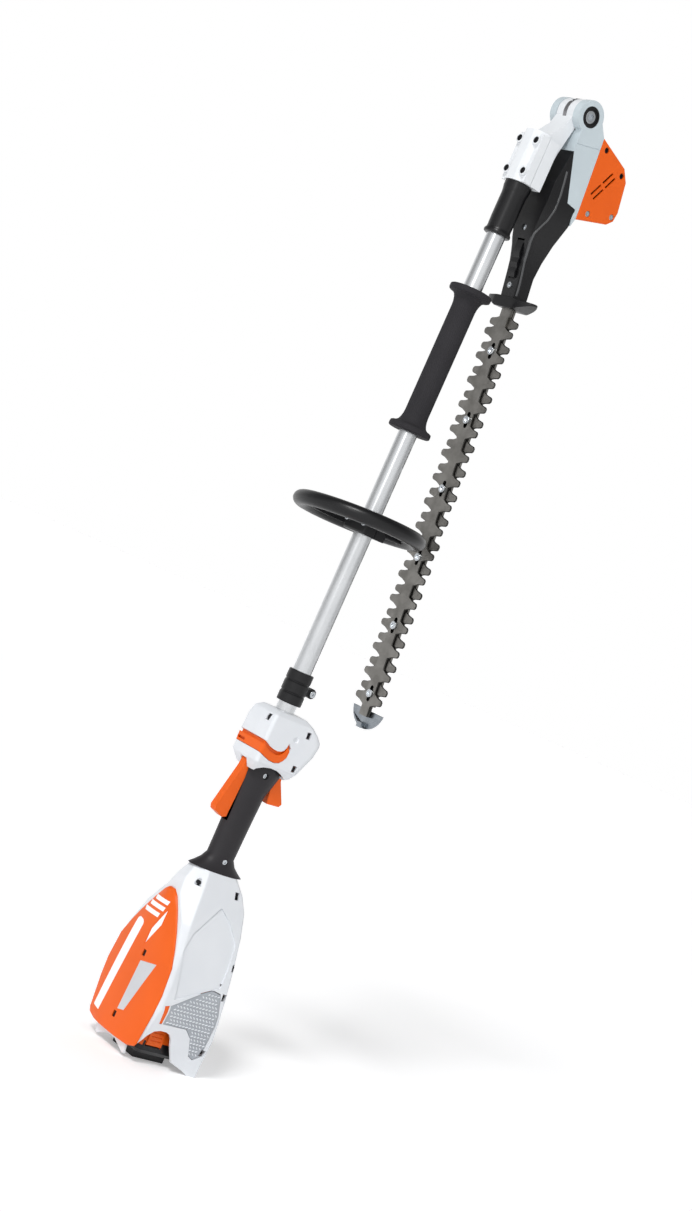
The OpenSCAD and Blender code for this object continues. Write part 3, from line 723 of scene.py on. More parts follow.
@dataclass
class BatteryHousing(SubAssembly):
    """The white housing at the foot of the pole, with its orange cover and grilles."""

    wall: float = 3.0
    edge: float = 3.2
    # Height; back and front in X; half width; half width of the back flat; how far the
    # back corner and the front corner are cut; half width of the front flat
    sections: tuple = (
        (0, -39.5, 65.8, 50.0, 44.0, 4, 2, 48),
        (24, -44.5, 64.0, 53.6, 52.0, 4, 2, 51),
        (50, -44.5, 61.0, 60.0, 58.0, 4, 2.5, 56),
        (74, -44.5, 58.4, 65.8, 63.5, 5, 8, 56),
        (104, -44.5, 55.8, 65.8, 63.5, 5, 10, 52),
        (140, -44.5, 54.0, 59.2, 55.5, 6, 10, 46),
        (176, -44.5, 52.6, 48.0, 40.0, 9, 9, 37),
        (205, -46.0, 50.0, 35.6, 15.0, 18, 7, 27),
        (224, -43.0, 42.0, 27.0, 9.0, 20, 6, 20),
        (241, -34.0, 28.0, 19.0, 6.0, 15, 6, 14))
    panel: tuple = ((7, 206), (24, 192), (39, 170), (33, 117), (-28, 90), (-37.5, 148),
                    (-29, 170))
    grille: tuple = ((-27, 82), (8, 105), (24, 112), (36, 110), (45.5, 84), (52, 44),
                     (54, 28), (46, 22), (37, 26), (24, 49), (12, 58.5), (-24, 57.5))
    tab: tuple = ((-36, 80), (-29.6, 82), (-26.6, 57.5), (-30.5, 57))
    panel_depth: float = 2.0
    arch: tuple = ((-70, -2), (-70, 24), (-42, 26), (-36, 39), (-30, 46), (-22, 48.5),
                   (-13, 48.5), (-6, 46), (-1, 41), (3, 34), (18.2, 12), (40, 5), (56, -2))
    screws: tuple = ((-30.5, 225), (28, 223), (44.5, 143.5), (42.8, 107.5), (54.3, 33))
    # Half sizes of a screw's hole in the shell, and in the grille's plate
    screw_hole: Point2 = (3.4, 4.4)
    plate_hole: Point2 = (2.9, 4.4)
    pips: tuple = ((33, 121), (50.5, 50))
    pip_radius: float = 1.4
    # Outer and inner distance from the symmetry plane of what is cut through a side
    side_reach: Point2 = (80, 34)
    # The grille's ribs: spacing along and up, half sizes, and the slants of odd and even rows
    rib_pitch: Point2 = (5.0, 4.6)
    rib_half: Point3 = (1.75, 0.75, 0.65)
    rib_slants: Point2 = (38, -24)
    rib_rows: int = 20
    rib_places: int = 18
    screw_clear: float = 5.5
    # Height and half width of the back cover, which is crowned across its width
    cover_widths: tuple = ((17, 40), (21, 53), (26, 56), (66, 62), (90, 63.5), (124, 59.5),
                           (145, 50), (163, 40), (187, 24), (200, 14), (206, 5))
    cover_back: float = -51.9
    cover_seat: float = -44.6
    crown: float = 5.5
    cover_screws: tuple = ((-1.4, 39.6), (-6.8, 121.5))
    # Half sizes of a cover screw's hole; its head is smaller by this play
    cover_hole: Point2 = (3.2, 4.0)
    cover_play: float = 0.1
    # The cover's blank film pieces: the strip with its place and tilt, the wedge, the plate
    strip: tuple = ((7.6, -61), (8.6, 58), (7.4, 61), (4, 63))
    strip_place: Point2 = (33.5, 92)
    strip_tilt: float = 6.5
    wedge_seat: tuple = ((-15, 181), (-15.5, 160), (0, 130), (-0.4, 152))
    wedge: tuple = ((-14.4, 179), (-14.9, 161), (-0.9, 133), (-1.3, 151))
    film: tuple = ((-6.5, 111.5), (-36.5, 118), (-15.3, 50), (-3, 47))
    # Height, right end and left end of each white bar
    bars: tuple = ((187, -10.5, 20), (178, -8, 26), (168.5, -3, 31))
    # What is cut out of the back's lower edge, across and up
    foot: tuple = ((-70, -2), (-70, 40), (-58, 28), (-52, 24), (-37, 5), (-30, 4), (-9, 13),
                   (9, 13), (30, 4), (37, 5), (52, 24), (58, 28), (70, 40), (70, -2))

    def _ring(self, z: float, inset: float) -> list[Point3]:
        """Gives the eight corners of the housing's outline at a height.

        Args:
            z: The height.
            inset: How far inside the outer face the outline lies.

        Returns:
            The corners in order.
        """
        back, front, half, flat, cut, nose, tip = between(self.sections, z)
        back, front, half = back + inset, front - inset, half - inset
        flat, tip = max(flat - inset, 1.0), max(tip - inset, 1.0)
        right = [(back, -flat), (back + cut, -half), (front - nose, -half), (front, -tip)]
        return [(x, y, z) for x, y in right + [(x, -y) for x, y in reversed(right)]]

    def body(self, inset: float = 0.0) -> Form:
        """Lofts the housing's outside, or a copy of it shrunk by an inset.

        Args:
            inset: How far inside the outer face the copy lies.

        Returns:
            The loft.
        """
        heights = [s[0] for s in self.sections]
        if inset:
            heights = [-2.0] + heights[1:-1] + [heights[-1] - inset]
        return Form.loft([self._ring(z, inset) for z in heights])

    def half_width(self, z: float) -> float:
        """Gives the housing's half width at a height."""
        return between(self.sections, z)[2]

    def heads(self, side: Side) -> tuple:
        """Gives a side's screw places: the rearmost screw has its head on the right."""
        return self.screws if side is Side.RIGHT else self.screws[1:]

    def shells(self) -> None:
        """Makes the two white shells with the arch, the side panel and the screw holes."""
        whole = self.body().rounded(self.edge, 3, 8.0, lambda c: 1 < c.z < 240)
        whole.cut(self.body(self.wall))
        whole.cut(Form.prism(list(self.foot), Axis.X, -60, -34))
        sunk = self.body(self.panel_depth)
        for side in Side:
            pocket = Form.prism(list(self.panel), Axis.Y, *outward(side, self.side_reach[0], 20))
            whole.cut(pocket.rounded(2.5, 3, 20.0).cut(sunk))
            span = outward(side, *self.side_reach)
            for outline in (self.arch, self._grown(self.grille, 1.0),
                            self._grown(self.tab, 0.3)):
                whole.cut(Form.prism(list(outline), Axis.Y, *span))
            wide, tall = self.screw_hole
            for x, z in self.heads(side):
                y = self.half_width(z)
                low, high = outward(side, y + 12, y - 9)
                whole.cut(Form.block((x - wide, low, z - tall), (x + wide, high, z + tall)))
            for x, z in self.pips:
                y = self.half_width(z)
                whole.cut(Form.rod(Axis.Y, self.pip_radius, (x, z),
                                   *outward(side, y + 8, y - 5), sides=20))
        for side, name in ((Side.RIGHT, "housing_right"), (Side.LEFT, "housing_left")):
            half = whole.copy()
            half.kept(one_side(side, -5, 260)).rounded(0.35, 1, 50.0)
            half.piece(name + "_shell", Finishes.WHITE, "pole", (name,), "white_shell")

    @staticmethod
    def _grown(outline: tuple, by: float) -> list[Point2]:
        """Grows an outline away from its middle.

        Args:
            outline: The corners.
            by: About how far each corner moves; a negative value shrinks it.

        Returns:
            The moved corners.
        """
        cx = sum(p[0] for p in outline) / len(outline)
        cz = sum(p[1] for p in outline) / len(outline)
        return [(x + by * (x - cx) / max(math.hypot(x - cx, z - cz), 1e-6),
                 z + by * (z - cz) / max(math.hypot(x - cx, z - cz), 1e-6))
                for x, z in outline]

    def grilles(self) -> None:
        """Makes both intake grilles: a backing plate with staggered slanted ribs."""
        plates, ribs = Form(), Form()
        wide, tall = self.plate_hole
        for side in Side:
            low, high = outward(side, *self.side_reach)
            plate = self.body(1.0)
            plate.cut(self.body(self.wall))
            plate.kept(Form.prism(list(self.grille), Axis.Y, low, high))
            for x, z in self.screws[3:]:
                plate.cut(Form.block((x - wide, low, z - tall), (x + wide, high, z + tall)))
            plates.with_(plate)
            ribs.with_(self._ribs(side))
        plates.piece("intake_grille_plates", Finishes.GREY, "pole", ("intake_grilles",),
                     "grille")
        ribs.piece("intake_grille_ribs", Finishes.WHITE, "pole", (), "grille")

    def _ribs(self, side: Side) -> Form:
        """Lays short slanted ribs in a staggered pattern over one grille.

        Args:
            side: The side that the grille is on.

        Returns:
            The ribs.
        """
        ribs = Form()
        inside = self._grown(self.grille, -3.0)
        along, up = self.rib_pitch
        for row in range(self.rib_rows):
            for place in range(self.rib_places):
                x = -30 + place * along + (row % 2) * along / 2
                z = 24 + row * up
                if not self._holds(inside, x, z) or any(
                        math.hypot(x - sx, z - sz) < self.screw_clear
                        for sx, sz in self.screws):
                    continue
                y = side.value * (self.half_width(z) - 0.75)
                rib = Form.block(tuple(-h for h in self.rib_half), self.rib_half)
                rib.rounded(0.4, 1)
                slope = math.atan2(self.half_width(z + 2) - self.half_width(z - 2), 4.0)
                lean = Matrix.Rotation(-slope * side.value, 4, "X")
                slant = self.rib_slants[0] if row % 2 else self.rib_slants[1]
                turn = Matrix.Rotation(math.radians(slant), 4, "Y")
                ribs.with_(rib.moved(Matrix.Translation((x, y, z)) @ lean @ turn))
        return ribs

    @staticmethod
    def _holds(outline: list[Point2], x: float, z: float) -> bool:
        """Tells whether a point lies inside an outline.

        Args:
            outline: The corners.
            x: The point's first coordinate.
            z: Its second one.

        Returns:
            True inside.
        """
        inside = False
        for (x0, z0), (x1, z1) in zip(outline, outline[1:] + outline[:1]):
            if (z0 > z) != (z1 > z) and x < (x1 - x0) * (z - z0) / (z1 - z0) + x0:
                inside = not inside
        return inside

    def tabs(self) -> None:
        """Makes the orange tab behind each grille."""
        both = Form()
        for side in Side:
            tab = self.body(0.3)
            tab.cut(self.body(self.wall))
            tab.kept(Form.prism(list(self.tab), Axis.Y, *outward(side, *self.side_reach)))
            both.with_(tab.rounded(0.3, 1, 50.0))
        both.piece("grille_tab_pair", Finishes.ORANGE, "pole", ("grille_tabs",),
                   "orange_shell")

    def _crowned(self, form: Form) -> Form:
        """Bends a piece of the back cover so that its sides fall away to the housing.

        Args:
            form: The piece, made flat.

        Returns:
            The bent piece.
        """
        def fall(c: Vector) -> Vector:
            """Gives the fall at a place, none at the cover's seat and at its middle.

            Args:
                c: The place.

            Returns:
                The shift, along X only.
            """
            width = between(self.cover_widths, c.z)[0]
            across = min(abs(c.y) / width, 1.0)
            depth = (self.cover_seat - c.x) / (self.cover_seat - self.cover_back)
            return Vector((self.crown * across ** 2.5 * max(depth, 0.0), 0.0, 0.0))
        form.sliced(Axis.Y, range(-60, 61, 6)).sliced(Axis.Z, range(24, 205, 12))
        return form.bent(fall)

    def cover(self) -> None:
        """Makes the orange back cover with the seats of its screws and film pieces."""
        face, outside = self.cover_back, self.cover_back - 2.1
        outline = mirrored([(half, z) for z, half in self.cover_widths])
        plate = Form.prism(outline, Axis.X, face, self.cover_seat).rounded(
            2.2, 3, 50.0, lambda c: c.x < face + 0.3)
        wide, tall = self.cover_hole
        for y, z in self.cover_screws:
            plate.cut(Form.block((outside, y - wide, z - tall), (face + 2.6, y + wide, z + tall)))
        plate.cut(self._strip(outside, face + 0.4))
        plate.cut(Form.prism(list(self.wedge_seat), Axis.X, outside, face + 0.6))
        self._crowned(plate).piece("back_cover_shell", Finishes.ORANGE, "pole",
                                   ("back_cover",), "orange_shell")

    def _strip(self, low: float, high: float) -> Form:
        """Makes the strip's outline into a solid at its place and tilt on the cover.

        Args:
            low: Where the solid starts, in X.
            high: Where it ends.

        Returns:
            The solid.
        """
        tilt = Matrix.Rotation(math.radians(self.strip_tilt), 4, "X")
        strip = Form.prism(mirrored(list(self.strip)), Axis.X, low, high)
        return strip.moved(Matrix.Translation((0, *self.strip_place)) @ tilt)

    def films(self) -> None:
        """Makes the blank film pieces on the back cover."""
        face = self.cover_back
        self._crowned(self._strip(face + 0.15, face + 0.6)).piece(
            "blank_strip", Finishes.LABEL, "pole", (), "white_shell")
        self._crowned(Form.prism(list(self.wedge), Axis.X, face + 0.2, face + 0.8)).piece(
            "cover_wedge", Finishes.LABEL, "pole", (), "white_shell")
        film = Form.prism(list(self.film), Axis.X, face - 0.1, face + 0.3)
        self._crowned(film.rounded(0.8, 2, 80.0)).piece(
            "blank_plate", Finishes.PLATE, "pole", (), "white_shell")
        bars = Form()
        for z, right, left in self.bars:
            bar = Form.prism([(right, z - 2.6), (left - 1.5, z - 3.4), (left + 1.5, z + 2.2),
                              (right - 1.5, z + 3.4)], Axis.X, face - 0.1, face + 0.8)
            bars.with_(bar.rounded(0.7, 2, 60.0))
        self._crowned(bars).piece("cover_bars", Finishes.LABEL, "pole", (), "white_shell")

    def fasteners(self) -> None:
        """Sets the dark screws deep in their holes."""
        heads = Form()
        for side in Side:
            for x, z in self.heads(side):
                y = self.half_width(z)
                heads.with_(Form.rod(Axis.Y, 2.4, (x, z), *outward(side, y - 3.6, y - 8),
                                     sides=24))
        heads.piece("housing_screw_heads", Finishes.OXIDE, "pole", ("housing_screws",),
                    "dark_screw")
        back = Form()
        floor = self.cover_back + 1.6
        wide, tall = (half - self.cover_play for half in self.cover_hole)
        for y, z in self.cover_screws:
            back.with_(Form.block((floor, y - wide, z - tall), (floor + 3, y + wide, z + tall)))
        back.piece("cover_screw_heads", Finishes.OXIDE, "pole", ("cover_screws",),
                   "dark_screw")

    def build(self) -> None:
        """Makes every piece of the housing."""
        self.shells()
        self.grilles()
        self.tabs()
        self.cover()
        self.films()
        self.fasteners()

    def dress(self) -> None:
        """Finishes the inner parts that stay as they are."""
        dress(Finishes.BLACK, "battery_contacts")
        dress(Finishes.BOARD, "control_board")
        dress(Finishes.CABLE, "motor_cable")


@dataclass
class Battery(SubAssembly):
    """The battery that slides up into the housing, with a squeeze latch on each side."""

    # Back, front and half width of the base's lower end, and of its upper part and lip
    foot_size: Point3 = (-25, 37, 37)
    base_size: Point3 = (-30, 42, 42)
    corner: float = 8.0
    base_heights: Point3 = (11.0, 16.0, 22.0)
    lip_top: float = 28.2
    lip_step: float = 0.4

    def _outline(self, size: Point3, radius: float, z: float) -> list[Point3]:
        """Gives the base's outline at a height."""
        return rounded_ring(*size, (radius, radius), z)

    def build(self) -> None:
        """Makes the case, the base and both latches."""
        Form.cad("battery_case").rounded(0.5, 2, 60.0).piece(
            "battery_case_shell", Finishes.ORANGE, "battery", ("battery_case",),
            "orange_shell")
        low, middle, high = self.base_heights
        base = Form.loft([self._outline(self.foot_size, 6.0, low),
                          self._outline(self.base_size, self.corner, middle),
                          self._outline(self.base_size, self.corner, high)])
        back, front, half = self.base_size
        step = self.lip_step
        lip = Form.loft([self._outline((back - step, front + step, half + step), self.corner, z)
                         for z in (high - step, self.lip_top)])
        lip.cut(Form.block((back + 0.1, 0.1 - half, high), (front - 0.1, half - 0.1, 30.0)))
        for side in Side:
            inner, outer = outward(side, 36, 50)
            lip.cut(Form.block((-22.5, inner, 20), (2.5, outer, 30)))
        base.joined(lip, Form.block((-18, -24, 0), (30, 24, low + 0.4)))
        base.rounded(0.7, 2, 60.0, lambda c: c.z < 21).piece(
            "battery_base_shell", Finishes.BLACK, "battery", ("battery_base",),
            "black_plastic")
        for name, body in (("battery_latch_right", "latch_right"),
                           ("battery_latch_left", "latch_left")):
            Form.cad(name).rounded(0.35, 2, 40.0).piece(
                name + "_paddle", Finishes.ORANGE, body, (name,), "orange_shell")

    def dress(self) -> None:
        """Finishes the cells."""
        dress(Finishes.CELL, "battery_cells")


@dataclass
class Handle(SubAssembly):
    """The charcoal grip above the housing, with its trigger and its lockout lever."""

    # Height, middle in X, half depth, half width
    cuts: tuple = ((238.5, 0.5, 42.5, 22.0), (241, 1, 41.0, 20.0), (246, 0.6, 33, 18),
                   (252, 0.2, 25, 16.2), (260, 0, 19, 15), (285, 0.3, 19.4, 15.2),
                   (310, 0.5, 20, 15.5), (345, 1, 21, 16), (360, 3.4, 24.4, 16.5),
                   (374, 5, 27, 17.6), (382, 4, 22, 18.4), (385, 4, 20, 18.0))
    screws: tuple = ((1.5, 371), (-1, 256))
    screw_radius: float = 4.0
    wall: float = 4.0
    # Half widths of the slots for the lockout lever and for the trigger
    lever_slot: float = 6.2
    trigger_slot: float = 8.8

    def _ring(self, z: float, inset: float, count: int = 40) -> list[Point3]:
        """Gives one cut across the grip.

        Args:
            z: Its height.
            inset: How far inside the outer face it lies.
            count: How many points it has.

        Returns:
            The points in order.
        """
        middle, depth, width = between(self.cuts, z)
        ring = []
        for k in range(count):
            a = (k + 0.5) * math.tau / count
            x = middle + (depth - inset) * math.cos(a)
            ring.append((x, (width - inset) * math.sin(a), z))
        return ring

    def build(self) -> None:
        """Makes the grip, its screws, the trigger and the lockout lever."""
        heights = [c[0] for c in self.cuts]
        grip = Form.loft([self._ring(z, 0) for z in heights[1:]])
        grip.rounded(0.8, 2, 50.0, lambda c: c.z < 250)
        inner = Form.loft([self._ring(z, self.wall) for z in [240] + heights[4:-1] + [388]])
        lever, trigger = self.lever_slot, self.trigger_slot
        grip.cut(inner, Form.block((-60, -lever, 304), (-6, lever, 390)),
                 Form.block((11, -trigger, 330), (60, trigger, 390)))
        for x, z in self.screws:
            for side in Side:
                grip.cut(Form.rod(Axis.Y, self.screw_radius, (x, z), *outward(side, 12.5, 30),
                                  32))
        for side, name in ((Side.RIGHT, "handle_right"), (Side.LEFT, "handle_left")):
            half = grip.copy()
            half.kept(one_side(side, 230, 390)).rounded(0.35, 1, 60.0)
            half.piece(name + "_overmould", Finishes.OVERMOULD, "pole", (name,),
                       "handle_rubber")
        heads = Form()
        for place in self.screws:
            for side in Side:
                heads.with_(screw_head(Axis.Y, place, side.value * 14.9, side.value, 3.6))
        heads.piece("handle_screw_heads", Finishes.PLATED, "pole", ("handle_screws",),
                    "bright_screw")
        Form.cad("trigger").rounded(1.2, 3, 40.0, lambda c: abs(c.y) < 9 and c.z < 386).piece(
            "trigger_blade", Finishes.ORANGE, "trigger", ("trigger",), "orange_shell")
        Form.cad("lockout_lever").rounded(
            1.4, 3, 40.0, lambda c: abs(c.y) < 8 and c.z < 386).piece(
            "lockout_blade", Finishes.ORANGE, "lockout", ("lockout_lever",), "orange_shell")

    def dress(self) -> None:
        """Finishes the switch inside."""
        dress(Finishes.BLACK, "trigger_switch")


def screw_head(axis: Axis, at: Point2, face: float, way: int, radius: float,
               height: float = 1.8, drive: float = 0.52) -> Form:
    """Makes a rounded screw head with a six-lobed recess.

    Args:
        axis: The screw's direction.
        at: Its centre, in the two other axes.
        face: Where the head's outer face is, along the axis.
        way: The side that the head looks to, 1 or -1.
        radius: The head's radius.
        height: The head's height.
        drive: The recess's radius as a share of the head's.

    Returns:
        The head.
    """
    head = Form.rod(axis, radius, at, *sorted((face, face - way * height)), sides=32)
    outer = face - way * 0.01
    head.rounded(height * 0.35, 3, 60.0,
                 lambda c: abs(c[axis.value] - outer) < height * 0.3)
    reach = sorted((face + way, face - way * height * 0.6))
    return head.cut(Form.rod(axis, radius * drive, at, *reach, sides=6))


@dataclass
class ControlHead(SubAssembly):
    """The white housing above the grip, with its orange retaining latch."""

    # Height and back, height and front, in X
    backs: tuple = ((374, -24), (386, -31), (410, -32), (436, -30.8), (447, -28), (452, -21))
    fronts: tuple = ((374, 30), (377, 36), (412, 54.5), (426, 57), (432, 56), (440, 47),
                     (446, 38), (452, 26))
    # Height, half width, radius of the back corners and of the front corners
    widths: tuple = ((374, 19, 5, 6), (378, 22, 5, 8), (386, 27.9, 5, 12),
                     (410, 27.9, 5, 13), (434, 27.7, 5, 12), (446, 25.5, 4.5, 10),
                     (452, 20, 4, 8))
    screws: tuple = ((29, 436), (28, 392))
    # Width across and height of the screw on the back face
    back_screw: Point2 = (-14, 440)
    # How far the latch slides, and so how much taller its slot is
    rise: float = 4.2
    wall: float = 2.8
    # Half sizes of a screw's hole, and the radius of its head
    screw_hole: Point2 = (3.4, 4.2)
    screw_radius: float = 3.2
    # The lower edge rises in the middle, over the top of the grip
    arch: tuple = ((-22, 372), (-21, 377), (-14, 381.4), (-4, 383.4), (8, 382.6), (18, 379.6),
                   (26, 375.5), (28, 372))

    def solid(self, inset: float) -> Form:
        """Lofts the housing's outside, or a copy shrunk by an inset.

        Args:
            inset: How far inside the outer face the copy lies; a negative value grows it.

        Returns:
            The loft.
        """
        levels = [374, 378, 386, 400, 412, 420, 426, 432, 436, 440, 443, 446, 449, 452]
        if inset:
            levels = [374 + inset] + levels[2:-2] + [452 - inset]
        rings = []
        for z in levels:
            back, front = between(self.backs, z)[0] + inset, between(self.fronts, z)[0] - inset
            width, rear, fore = between(self.widths, z)
            radii = (max(rear - inset, 1.0), max(fore - inset, 1.0))
            rings.append(rounded_ring(back, front, width - inset, radii, z))
        return Form.loft(rings)

    @staticmethod
    def band(grow: float, lift: float) -> list[Point2]:
        """Gives the latch's outline, or the slot that it slides in.

        Args:
            grow: The play all round.
            lift: How far the upper edge is raised.

        Returns:
            The corners in order.
        """
        lower = [(-37, 399.5), (-32, 398.2), (-24, 395), (-14, 391.9), (-5, 391.2),
                 (2, 393), (6.5, 397), (9.6, 402.5), (10.2, 410.4)]
        upper = [(5.4, 414.6), (4.6, 408.4), (2, 404.6), (-1.2, 402.3), (-6.6, 401.1),
                 (-12, 401.6), (-20, 403.5), (-27.8, 407.6), (-37, 411)]
        upper = [(x, z + lift) for x, z in upper]
        return ([(x + (grow if x > 9 else 0), z - grow + (lift if z > 410 else 0))
                 for x, z in lower]
                + [(x - (grow if x > 3 else 0), z + grow) for x, z in upper])

    def build(self) -> None:
        """Makes the two white shells, their screws and the latch."""
        shell = self.solid(0).rounded(1.4, 3, 22.0, lambda c: c.z > 376)
        slot = Form.prism(self.band(0.5, self.rise), Axis.Y, -40, 40).cut(self.solid(4.0))
        shell.cut(self.solid(self.wall), Form.rod(Axis.Z, 12.4, (0, 0), 430, 470),
                  Form.block((-29.5, -6.4, 370), (-12, 6.4, 398)),
                  Form.block((14, -9, 370), (42, 9, 398)),
                  Form.block((-12, -10, 370), (14, 10, 380)),
                  slot, Form.prism(list(self.arch), Axis.Y, -40, 40))
        wide, tall = self.screw_hole
        for x, z in self.screws:
            for low, high in ((-34, -21), (21, 34)):
                shell.cut(Form.block((x - wide, low, z - tall), (x + wide, high, z + tall)))
        y, z = self.back_screw
        shell.cut(Form.block((-36, y - wide, z - tall), (-25, y + wide, z + tall)))
        # Finger scallop beside the tube
        shell.cut(Form.rod(Axis.Y, 9.5, (13, 426), -34, -26.2, 40, tip=3.0))
        for side, name in ((Side.RIGHT, "control_housing_right"),
                           (Side.LEFT, "control_housing_left")):
            half = shell.copy()
            half.kept(one_side(side, 360, 470)).rounded(0.35, 1, 60.0)
            half.piece(name + "_shell", Finishes.WHITE, "pole", (name,), "white_shell")
        heads = Form()
        radius = self.screw_radius
        for place in self.screws:
            for side in Side:
                heads.with_(Form.rod(Axis.Y, radius, place, *outward(side, 24.6, 20), 24))
        heads.with_(Form.rod(Axis.X, radius, self.back_screw, -28.6, -25, 24))
        heads.piece("control_screw_heads", Finishes.OXIDE, "pole", ("control_screws",),
                    "dark_screw")
        self.latch()

    def latch(self) -> None:
        """Makes the orange latch: a band round the back that ends in a hook on each side."""
        band = self.solid(-0.3)
        band.kept(Form.prism(self.band(0, 0), Axis.Y, -40, 40)).cut(self.solid(2.2))
        band.rounded(0.5, 2, 50.0)
        band.cut(Form.block((-40, 9, 401), (-29, 24, 404)))
        # Hidden skirt behind the slot that the band slides in
        skirt = self.solid(3.0)
        skirt.kept(Form.prism(self.band(0, self.rise + 1), Axis.Y, -40, 40))
        skirt.cut(self.solid(4.4))
        band.with_(skirt)
        band.piece("retaining_latch_band", Finishes.ORANGE, "latch", ("retaining_latch",),
                   "orange_shell")


@dataclass
class Shaft(SubAssembly):
    """The aluminium tube with its strap clamp, sleeve and foam grip."""

    grip_low: float = 822.0
    grip_high: float = 1011.0
    ribs: int = 40
    rib_depth: float = 0.32
    # Radius, and height above the grip's end, of its flared collar
    flare: tuple = ((25.0, 0.0), (26.6, 0.9), (27.0, 2.2), (27.0, 5.4), (26.4, 7.2),
                    (24.6, 8.2), (21.0, 9.2), (18.4, 11.4), (16.8, 15.0), (15.6, 20.0),
                    (15.2, 25.0))
    clamp_base: float = 463.0
    clamp_wall: tuple = ((12.05, 0), (15.2, 0), (16, 0.8), (16, 11.4), (15.1, 12.4),
                         (15.1, 13.4), (16, 14.4), (16, 26.2), (15.1, 27.2), (15.1, 28.2),
                         (16, 29.2), (16, 40.2), (15.2, 41), (12.05, 41))
    # The clamp's screw: its distance from the tube's middle, and its height on the clamp
    clamp_screw: Point2 = (24, 20.5)
    sleeve_base: float = 1084.0
    sleeve_wall: tuple = ((12.05, 0), (15.4, 0), (16.8, 0.9), (17.3, 2.6), (16.8, 4.6),
                          (15.6, 6.2), (15.2, 9), (15.6, 20), (15.6, 52), (16.0, 56),
                          (16.9, 61), (17, 67.9), (12.05, 67.9))

    def grip(self) -> None:
        """Makes the foam grip with flared collars and fine lengthwise ribs."""
        low, high = self.grip_low, self.grip_high
        outside = [(r, low + z) for r, z in self.flare]
        outside += [(self.flare[-1][0], low + z) for z in (60, 95, 130)]
        outside += [(r, high - z) for r, z in reversed(self.flare)]
        foam = Form.spun([(12.1, low)] + outside + [(12.1, high)], steps=self.ribs * 4)
        for vert in foam.bm.verts:
            radius = math.hypot(vert.co.x, vert.co.y)
            if 12.5 < radius < 16.0 and low + 19 < vert.co.z < high - 19:
                turn = math.atan2(vert.co.y, vert.co.x) * self.ribs
                sunk = radius - self.rib_depth * (1 + math.cos(turn)) / 2
                vert.co.x *= sunk / radius
                vert.co.y *= sunk / radius
        made = foam.piece("foam_grip", Finishes.FOAM, "pole", ("grip_hose",), "grip_rubber",
                          smooth=60.0)

    def clamp(self) -> None:
        """Makes the strap clamp with its two grooves, eyelet and screw."""
        base = self.clamp_base
        ring = Form.spun([(r, base + z) for r, z in self.clamp_wall], steps=72)
        x, middle = self.clamp_screw[0], base + self.clamp_screw[1]
        ear = Form.block((13.6, -5.5, middle - 5), (x, 5.5, middle + 5))
        ear.joined(Form.rod(Axis.Y, 6.4, (x, middle), -5.5, 5.5, 40))
        ear.rounded(0.7, 2, 50.0, lambda c: c.x > 16.2)
        ring.joined(ear)
        ring.cut(Form.rod(Axis.Y, 2.7, (x, middle), -10, 10, 32),
                 Form.block((11, -0.7, base - 1), (33, 0.7, base + 42)))
        ring.piece("strap_clamp_ring", Finishes.BLACK, "pole", ("strap_clamp",),
                   "black_plastic")
        screw = Form.rod(Axis.Y, 2.5, (x, middle), -5.5, 7.4, 32)
        screw.with_(screw_head(Axis.Y, (x, middle), -8, -1, 4.4, 2.5, 0.4))
        screw.piece("strap_clamp_bolt", Finishes.PLATED, "pole", ("strap_clamp_screw",),
                    "bright_screw")

    def sleeve(self) -> None:
        """Makes the black sleeve below the bracket, with a bead at its lower end."""
        wall = [(r, self.sleeve_base + z) for r, z in self.sleeve_wall]
        Form.spun(wall, steps=72).piece(
            "joint_sleeve_boot", Finishes.BLACK, "pole", ("joint_sleeve",), "black_plastic")

    def build(self) -> None:
        """Makes the pieces along the tube."""
        self.grip()
        self.clamp()
        self.sleeve()

    def dress(self) -> None:
        """Finishes the tube itself."""
        tube = frame["nodes"]["shaft_tube"]
        dress(Finishes.TUBE, "shaft_tube")
        tube.data.shade_smooth()


